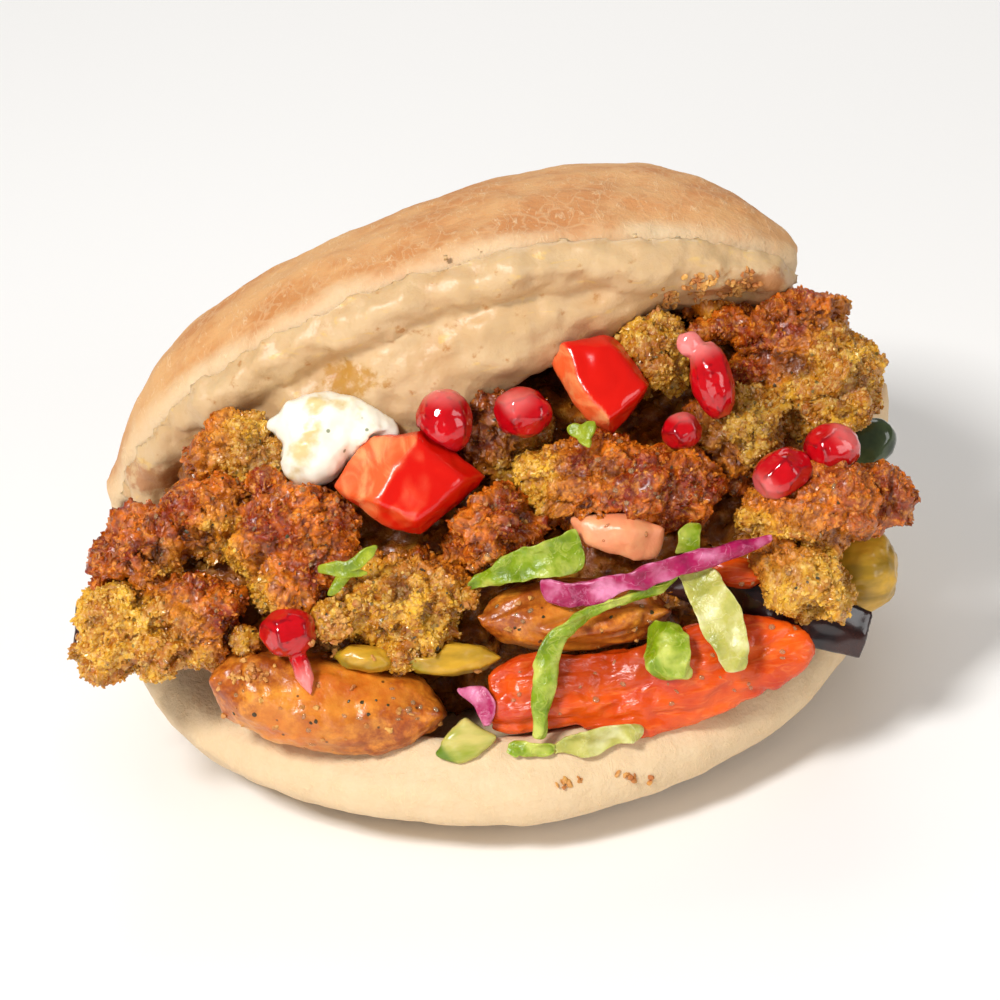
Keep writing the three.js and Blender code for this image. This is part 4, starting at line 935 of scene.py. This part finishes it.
# Painted shade: the hollows of the folds are darkened to brown.
fold = add(tree, "ShaderNodeMapRange", {"Value": rise, "From Min": 0.0, "From Max": -0.9, "To Max": 0.5})
colour = add(tree, "ShaderNodeMix", {"Factor": fold, "A": colour, "B": srgb("#8c4412")}, data_type="RGBA")
crisp = add(tree, "ShaderNodeTexNoise", {"Vector": spot, "Scale": every(2), "Detail": 4.0})
crisp = add(tree, "ShaderNodeMapRange", {"Value": crisp, "From Min": 0.56, "From Max": 0.75, "To Max": 0.3})
colour = add(tree, "ShaderNodeMix", {"Factor": crisp, "A": colour, "B": srgb("#a85c1e")}, data_type="RGBA")
speck = add(tree, "ShaderNodeTexVoronoi", {"Vector": spot, "Scale": every(3.2)})
speck = add(
    tree, "ShaderNodeMapRange",
    {"Value": speck, "From Min": 0.06, "From Max": 0.11, "To Min": 0.85, "To Max": 0.0},
)
colour = add(tree, "ShaderNodeMix", {"Factor": speck, "A": colour, "B": srgb("#3c260f")}, data_type="RGBA")
blister = add(tree, "ShaderNodeTexNoise", {"Vector": spot, "Scale": every(1.1), "Detail": 3.0})
bump = add(tree, "ShaderNodeBump", {"Height": blister, "Strength": 0.4, "Distance": 0.0004})
join(
    tree, shader,
    {
        "Base Color": colour, "Normal": bump, "Roughness": 0.3, "Subsurface Weight": 0.12,
        "Subsurface Radius": (1.0, 0.5, 0.15), "Subsurface Scale": 0.002,
    },
)
for node, crease in (("potato_left", 0.25), ("potato_middle", 0.9)):
    piece = copy_of(node)
    smoothed(piece, voxel=0.0005, rounds=6)
    shape_by(
        piece, uneven, depth=0.0006, width=0.0075, crease=crease, fine_depth=0.00012, fine_width=0.0018,
        stretch=(0.35, 1.0, 1.0) if crease > 0.5 else (1.0, 1.0, 1.0),
    )
    keep_shape(piece)
    spots, normals = points_of(piece.data)
    along = spots @ np.array(from_mouth(-0.45, 0.85, -0.2).normalized())
    share = (along - along.min()) / (along.max() - along.min())
    skinned = np.maximum(ease(share, 0.52, 0.72), 1 - ease(share, 0.12, 0.3))
    mark(piece.data, "rim", np.maximum(ease(turning(piece.data, 40), 70, 160), skinned) * 0.9)
    serve(piece, material, "potato", node)

# ---- The carrot -------------------------------------------------------------------------------------------
# Carrot cut thick and braised until it glistens. Its ends and edges are wrinkled in fine cross lines.

GLAZE_SPOT = np.array([0.0152, -0.0517, 0.0315])  # where the braising juice has pooled and browned
GLAZE_REACH = np.array([0.016, 0.014, 0.006])

material, tree, shader = start_material("braised_carrot")
spot = add(tree, "ShaderNodeTexCoord").outputs["Object"]
tone = add(tree, "ShaderNodeTexNoise", {"Vector": spot, "Scale": every(8), "Detail": 4.0})
warm = add(tree, "ShaderNodeMapRange", {"Value": tone, "From Min": 0.35, "From Max": 0.66})
colour = add(
    tree, "ShaderNodeMix", {"Factor": warm, "A": srgb("#ea5c10"), "B": srgb("#c43404")}, data_type="RGBA"
)
drawn = add(
    tree, "ShaderNodeMapping", {"Vector": spot, "Rotation": (0.0, 0.5, 0.3), "Scale": (0.3, 1.0, 1.0)}
)
wrinkle = add(
    tree, "ShaderNodeTexNoise", {"Vector": drawn, "Scale": every(1.5), "Detail": 5.0, "Distortion": 1.5}
)
streak = add(
    tree, "ShaderNodeMapRange", {"Value": wrinkle, "From Min": 0.52, "From Max": 0.72, "To Max": 0.4}
)
colour = add(tree, "ShaderNodeMix", {"Factor": streak, "A": colour, "B": srgb("#f88c3c")}, data_type="RGBA")
glaze = add(tree, "ShaderNodeAttribute", attribute_name="glaze").outputs["Fac"]
colour = add(tree, "ShaderNodeMix", {"Factor": glaze, "A": colour, "B": srgb("#b03804")}, data_type="RGBA")
bump = add(tree, "ShaderNodeBump", {"Height": wrinkle, "Strength": 0.5, "Distance": 0.0004})
join(
    tree, shader,
    {
        "Base Color": colour, "Normal": bump, "Roughness": 0.24, "Subsurface Weight": 0.15,
        "Subsurface Radius": (1.0, 0.35, 0.1), "Subsurface Scale": 0.002,
    },
)
for node in ("carrot_long", "carrot_short"):
    piece = copy_of(node)
    smoothed(piece, voxel=0.0005, rounds=8)
    shape_by(
        piece, uneven, depth=0.001, width=0.008, crease=0.45, fine_depth=0.00036, fine_width=0.0026,
        stretch=(0.5, 1.0, 1.0),
    )
    keep_shape(piece)
    spots, normals = points_of(piece.data)
    pooled = 1 - ease(np.linalg.norm((spots - GLAZE_SPOT) / GLAZE_REACH, axis=1), 0.45, 1.0)
    mark(piece.data, "glaze", pooled * 0.75)
    serve(piece, material, "carrot", node)

# ---- The eggplant and the zucchini ------------------------------------------------------------------------
# Fried strips with their skin out: nearly black purple or dark green, tight and glossy with oil.

for name, nodes, slot, shell, light_tone in (
    ("fried_eggplant_skin", ("eggplant_left", "eggplant_right"), "eggplant", "#1a0e10", "#4a2820"),
    ("fried_zucchini_skin", ("zucchini_right",), "zucchini", "#26331f", "#52613c"),
):
    material, tree, shader = start_material(name)
    spot = add(tree, "ShaderNodeTexCoord").outputs["Object"]
    tone = add(tree, "ShaderNodeTexNoise", {"Vector": spot, "Scale": every(6), "Detail": 4.0})
    tone = add(tree, "ShaderNodeMapRange", {"Value": tone, "From Min": 0.42, "From Max": 0.75})
    skin = add(
        tree, "ShaderNodeMix", {"Factor": tone, "A": srgb(shell), "B": srgb(light_tone)}, data_type="RGBA"
    )
    join(tree, shader, {"Base Color": skin, "Roughness": 0.17, "Coat Weight": 0.3})
    for node in nodes:
        piece = copy_of(node)
        smoothed(piece, voxel=0.0005, rounds=4)
        shape_by(piece, uneven, depth=0.0005, width=0.009, stretch=(0.5, 1.0, 1.0))
        keep_shape(piece)
        serve(piece, material, slot, node)

# ---- The pickles and the cucumber -------------------------------------------------------------------------
# Pickled pepper and cucumber: soft, wet and a little see-through. The fresh cucumber has a green rind.

for name, nodes, slot, flesh, rind in (
    ("brined_pepper", ("pickle_middle", "pickle_left", "pickle_right"), "pickle", "#d0a02c", "#98761a"),
    ("cut_cucumber", ("cucumber",), "cucumber", "#cfbe6c", "#98a032"),
):
    material, tree, shader = start_material(name)
    spot = add(tree, "ShaderNodeTexCoord").outputs["Object"]
    drawn = add(
        tree, "ShaderNodeMapping", {"Vector": spot, "Rotation": (0.0, 0.0, -0.2), "Scale": (0.3, 1.0, 1.0)}
    )
    tone = add(tree, "ShaderNodeTexNoise", {"Vector": drawn, "Scale": every(3), "Detail": 4.0})
    tone = add(tree, "ShaderNodeMapRange", {"Value": tone, "From Min": 0.38, "From Max": 0.65})
    colour = add(tree, "ShaderNodeMix", {"Factor": tone, "A": srgb(flesh), "B": srgb(rind)}, data_type="RGBA")
    outer = add(tree, "ShaderNodeAttribute", attribute_name="rind").outputs["Fac"]
    colour = add(
        tree, "ShaderNodeMix", {"Factor": outer, "A": colour, "B": srgb("#64801c")}, data_type="RGBA"
    )
    join(
        tree, shader,
        {
            "Base Color": colour, "Roughness": 0.28, "Subsurface Weight": 0.3,
            "Subsurface Radius": (0.9, 0.8, 0.3), "Subsurface Scale": 0.002,
        },
    )
    for node in nodes:
        piece = copy_of(node)
        smoothed(piece, voxel=0.0004, rounds=6)
        shape_by(
            piece, uneven, depth=0.0005, width=0.005, fine_depth=0.00018, fine_width=0.0016,
            stretch=(0.4, 1.0, 1.0),
        )
        keep_shape(piece)
        spots, normals = points_of(piece.data)
        along = spots @ np.array(from_mouth(-0.8, -0.5, -0.2).normalized())
        share = (along - along.min()) / (along.max() - along.min())
        mark(piece.data, "rind", ease(share, 0.72, 0.86) * (1.0 if slot == "cucumber" else 0.35))
        serve(piece, material, slot, node)

# ---- The lettuce, cabbage and herbs -----------------------------------------------------------------------
# Shreds of fresh leaf, thin and springy: light passes through the green, the ribs are pale and watery, the
# cabbage is purple on its faces and nearly white at its cut edges.

# Both faces of a leaf follow the same noise, so it bends and keeps its thickness.
wavy, given = start_tree("Wavy leaf", {"Wave depth": 0.001, "Wave width": 0.006, "Offset": (0.0, 0.0, 0.0)})
place = add(
    wavy, "ShaderNodeVectorMath", {0: add(wavy, "GeometryNodeInputPosition"), 1: given["Offset"]},
    operation="ADD",
)
wave_scale = add(wavy, "ShaderNodeMath", {0: 1.0, 1: given["Wave width"]}, operation="DIVIDE")
wave = add(wavy, "ShaderNodeTexNoise", {"Vector": place, "Scale": wave_scale, "Detail": 2.0})
wave = add(wavy, "ShaderNodeVectorMath", {0: wave.outputs["Color"], 1: (0.5, 0.5, 0.5)}, operation="SUBTRACT")
push = add(wavy, "ShaderNodeVectorMath", {0: wave, "Scale": given["Wave depth"]}, operation="SCALE")
moved = add(wavy, "GeometryNodeSetPosition", {"Geometry": given["Geometry"], "Offset": push})
add(wavy, "NodeGroupOutput", {"Geometry": moved})

for name, nodes, slot, leaf, vein_colour, deep, see_through in (
    (
        "green_lettuce_leaf",
        ("lettuce_point", "lettuce_ribbon", "lettuce_curl", "lettuce_upper", "lettuce_low_left"), "lettuce",
        "#809808", "#cdd060", "#587204", 0.3,
    ),
    (
        "pale_lettuce_rib", ("lettuce_rib", "lettuce_low_middle"), "lettuce_rib", "#bdb657", "#e4dfa6",
        "#94983a", 0.35,
    ),
    ("red_cabbage_leaf", ("cabbage_long", "cabbage_short"), "cabbage", "#a80c50", "#e48cb0", "#780638", 0.2),
    ("parsley_leaf", ("parsley_left", "parsley_top"), "parsley", "#748804", "#b4bc30", "#4c6404", 0.0),
):
    material, tree, shader = start_material(name)
    spot = add(tree, "ShaderNodeTexCoord").outputs["Object"]
    tone = add(tree, "ShaderNodeTexNoise", {"Vector": spot, "Scale": every(5), "Detail": 3.0})
    vein = add(
        tree, "ShaderNodeTexNoise", {"Vector": spot, "Scale": every(3.2), "Detail": 3.0, "Distortion": 0.6}
    )
    vein = add(
        tree, "ShaderNodeMath", {0: add(tree, "ShaderNodeMath", {0: vein, 1: 0.5}, operation="SUBTRACT")},
        operation="ABSOLUTE",
    )
    vein = add(
        tree, "ShaderNodeMapRange", {"Value": vein, "From Max": 0.03, "To Min": 0.35, "To Max": 0.0},
        interpolation_type="SMOOTHSTEP",
    )
    light_part = add(
        tree, "ShaderNodeMapRange", {"Value": tone, "From Min": 0.48, "From Max": 0.66, "To Max": 0.85}
    )
    edge = add(tree, "ShaderNodeAttribute", attribute_name="edge").outputs["Fac"]
    pale = add(tree, "ShaderNodeMath", {0: vein, 1: light_part}, operation="MAXIMUM")
    pale = add(tree, "ShaderNodeMath", {0: pale, 1: edge}, operation="MAXIMUM")
    colour = add(
        tree, "ShaderNodeMix", {"Factor": pale, "A": srgb(leaf), "B": srgb(vein_colour)}, data_type="RGBA"
    )
    dark_part = add(
        tree, "ShaderNodeMapRange", {"Value": tone, "From Min": 0.46, "From Max": 0.32, "To Max": 0.7}
    )
    colour = add(tree, "ShaderNodeMix", {"Factor": dark_part, "A": colour, "B": srgb(deep)}, data_type="RGBA")
    cells = add(tree, "ShaderNodeTexNoise", {"Vector": spot, "Scale": every(0.9), "Detail": 3.0})
    cells = add(tree, "ShaderNodeMath", {0: vein, 1: 0.7, 2: cells}, operation="MULTIPLY_ADD")
    bump = add(tree, "ShaderNodeBump", {"Height": cells, "Strength": 0.5, "Distance": 0.0004})
    join(
        tree, shader,
        {
            "Base Color": colour, "Normal": bump, "Roughness": 0.32, "Subsurface Weight": see_through,
            "Subsurface Radius": (0.7, 1.0, 0.3) if slot != "cabbage" else (1.0, 0.3, 0.8),
            "Subsurface Scale": 0.001,
        },
    )
    for number, node in enumerate(nodes):
        piece = copy_of(node)
        subdivision = piece.modifiers.new("bend", "SUBSURF")
        subdivision.levels = subdivision.render_levels = 2
        shape_by(
            piece, wavy, wave_depth=0.006 if node == "lettuce_curl" else 0.0035, wave_width=0.007,
            offset=(number * 0.03, 0.0, 0.0),
        )
        keep_shape(piece)
        mark(piece.data, "edge", ease(turning(piece.data), 350, 1100) * (0.85 if slot == "cabbage" else 0.5))
        serve(piece, material, slot, node)

# ---- Loose crumbs, herb flecks and oil --------------------------------------------------------------------
# Crumbs that fell off the falafel and the bread, chopped dried herbs, and beads of frying oil. All of them
# lie where they fell: each is dropped straight into the mouth and stays on the first piece that it meets.
# They are drawn a little larger than real ones, so that they show.

# Heaps of crumbs: across and up the mouth in millimetres, and how many.
CRUMB_HEAPS = [
    (-43, 6, 30), (-27, 13, 20), (-29, 9, 20), (7.5, -18, 9), (18.5, -19, 8), (34, 60, 30), (40, 61.5, 44),
    (47, 61, 30),
]
FILLING_WIDTH, FILLING_LOW, FILLING_HIGH = 58, -8, 46
CRUMB_COUNT, FLECK_COUNT, BEAD_COUNT = 300, 120, 280
DROP_HEIGHT = 95  # millimetres out of the mouth
DROP_LENGTH = 0.055  # what falls further is left out

dealt = np.random.default_rng(7)
everything = [piece for piece in scene.objects if piece.name.endswith("_food")]


def fallen(places, beds):
    """A mesh of points with a normal, where things dropped into the mouth come to lie on a piece in beds."""
    spots, normals = [], []
    for u, v in places:
        start, way = from_mouth(u, v, DROP_HEIGHT) / 1000, -from_mouth(0, 0, 1)
        hits = [
            (hit[1], hit[2], piece.name) for piece in everything if (hit := piece.ray_cast(start, way))[0]
        ]
        if hits:
            place, normal, name = min(hits, key=lambda hit: (hit[0] - start).length)
            if (place - start).length < DROP_LENGTH and name.startswith(beds):
                spots.append(place)
                normals.append(normal)
    mesh = bpy.data.meshes.new("fallen")
    mesh.from_pydata(spots, [], [])
    mesh.attributes.new("lean", "FLOAT_VECTOR", "POINT").data.foreach_set(
        "vector", np.array(normals, dtype=np.float32).ravel()
    )
    return mesh


bits, given = start_tree(
    "Fallen bits", {"Size": 0.001, "Flatness": 1.0, "Raggedness": 0.0, "Sink": 0.0, "Finish": None}
)
lean = add(bits, "GeometryNodeInputNamedAttribute", {"Name": "lean"}, data_type="FLOAT_VECTOR")
bed = add(bits, "ShaderNodeVectorMath", {0: lean, "Scale": given["Sink"]}, operation="SCALE")
settled = add(bits, "GeometryNodeSetPosition", {"Geometry": given["Geometry"], "Offset": bed})
upright = add(bits, "FunctionNodeAlignRotationToVector", {"Vector": lean}, axis="Z")
spin = add(bits, "FunctionNodeRandomValue", {"Max": 6.3, "Seed": 3}, data_type="FLOAT")
spin = add(bits, "FunctionNodeAxisAngleToRotation", {"Axis": (0.0, 0.0, 1.0), "Angle": spin})
turned = add(bits, "FunctionNodeRotateRotation", {0: upright, 1: spin}, rotation_space="LOCAL")
across_size = add(bits, "FunctionNodeRandomValue", {"Min": 0.4, "Max": 1.4, "Seed": 4}, data_type="FLOAT")
along_size = add(bits, "FunctionNodeRandomValue", {"Min": 0.4, "Max": 1.2, "Seed": 6}, data_type="FLOAT")
thick = add(bits, "ShaderNodeMath", {0: across_size, 1: given["Flatness"]}, operation="MULTIPLY")
size = add(bits, "ShaderNodeCombineXYZ", {0: across_size, 1: along_size, 2: thick})
ball = add(bits, "GeometryNodeMeshIcoSphere", {"Radius": given["Size"], "Subdivisions": 2})
laid = add(
    bits, "GeometryNodeInstanceOnPoints",
    {"Points": settled, "Instance": ball, "Rotation": turned, "Scale": size},
)
laid = add(bits, "GeometryNodeRealizeInstances", {"Geometry": laid})
tear = add(bits, "ShaderNodeTexNoise", {"Scale": every(0.8), "Detail": 2.0})
tear = add(bits, "ShaderNodeVectorMath", {0: tear.outputs["Color"], 1: (0.5, 0.5, 0.5)}, operation="SUBTRACT")
tear = add(bits, "ShaderNodeVectorMath", {0: tear, "Scale": given["Raggedness"]}, operation="SCALE")
laid = add(bits, "GeometryNodeSetPosition", {"Geometry": laid, "Offset": tear})
laid = add(bits, "GeometryNodeSetMaterial", {"Geometry": laid, "Material": given["Finish"]})
add(bits, "NodeGroupOutput", {"Geometry": laid})

heaped = [
    (u + dealt.normal(0, 1.6), v + dealt.normal(0, 1.0)) for u, v, count in CRUMB_HEAPS for _ in range(count)
]
strewn = [
    (dealt.uniform(-FILLING_WIDTH, FILLING_WIDTH), dealt.uniform(FILLING_LOW, FILLING_HIGH))
    for _ in range(CRUMB_COUNT + FLECK_COUNT + BEAD_COUNT)
]

# Toasted falafel and bread crumbs: dry, tan to brown.
toasted, tree, shader = start_material("toasted_crumbs")
spot = add(tree, "ShaderNodeTexCoord").outputs["Object"]
tone = add(tree, "ShaderNodeTexNoise", {"Vector": spot, "Scale": every(2.5), "Detail": 3.0})
tone = add(tree, "ShaderNodeMapRange", {"Value": tone, "From Min": 0.35, "From Max": 0.65})
colour = add(
    tree, "ShaderNodeMix", {"Factor": tone, "A": srgb("#b56a30"), "B": srgb("#dca653")}, data_type="RGBA"
)
join(tree, shader, {"Base Color": colour, "Roughness": 0.5})

# Dried herbs in oil: dark green to brown.
herbs, tree, shader = start_material("chopped_dried_herbs")
spot = add(tree, "ShaderNodeTexCoord").outputs["Object"]
tone = add(tree, "ShaderNodeTexNoise", {"Vector": spot, "Scale": every(3), "Detail": 1.0})
colour = add(
    tree, "ShaderNodeMix", {"Factor": tone, "A": srgb("#2f3a14"), "B": srgb("#4a2c12")}, data_type="RGBA"
)
join(tree, shader, {"Base Color": colour, "Roughness": 0.35})

# Beads of frying oil, amber and clear.
amber, tree, shader = start_material("amber_frying_oil")
spot = add(tree, "ShaderNodeTexCoord").outputs["Object"]
tone = add(tree, "ShaderNodeTexNoise", {"Vector": spot, "Scale": every(5), "Detail": 1.0})
colour = add(
    tree, "ShaderNodeMix", {"Factor": tone, "A": srgb("#f8e0b0"), "B": srgb("#eab060")}, data_type="RGBA"
)
join(tree, shader, {"Base Color": colour, "Roughness": 0.05, "Transmission Weight": 0.75, "IOR": 1.47})

for name, places, beds, slot, sizes in (
    (
        "heaped_crumbs", heaped, "", "falafel_crumb",
        {"size": 0.0005, "raggedness": 0.0014, "sink": 0.0001, "finish": toasted},
    ),
    (
        "strewn_crumbs", strewn[:CRUMB_COUNT], ("falafel_crushed", "potato", "pickle"), "falafel_crumb",
        {"size": 0.0005, "raggedness": 0.0012, "finish": toasted},
    ),
    (
        "herb_flecks", strewn[CRUMB_COUNT:-BEAD_COUNT], ("falafel", "potato"), "parsley",
        {"size": 0.00035, "flatness": 0.3, "raggedness": 0.0005, "finish": herbs},
    ),
    (
        "oil_beads", strewn[-BEAD_COUNT:], ("falafel", "potato", "carrot", "tomato_flesh"), "falafel_crust",
        {"size": 0.0005, "flatness": 0.5, "finish": amber},
    ),
):
    piece = bpy.data.objects.new(name, fallen(places, beds))
    scene.collection.objects.link(piece)
    shape_by(piece, bits, **sizes)
    keep_shape(piece)
    if name == "oil_beads":
        piece.data.shade_smooth()
    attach(piece, "root")
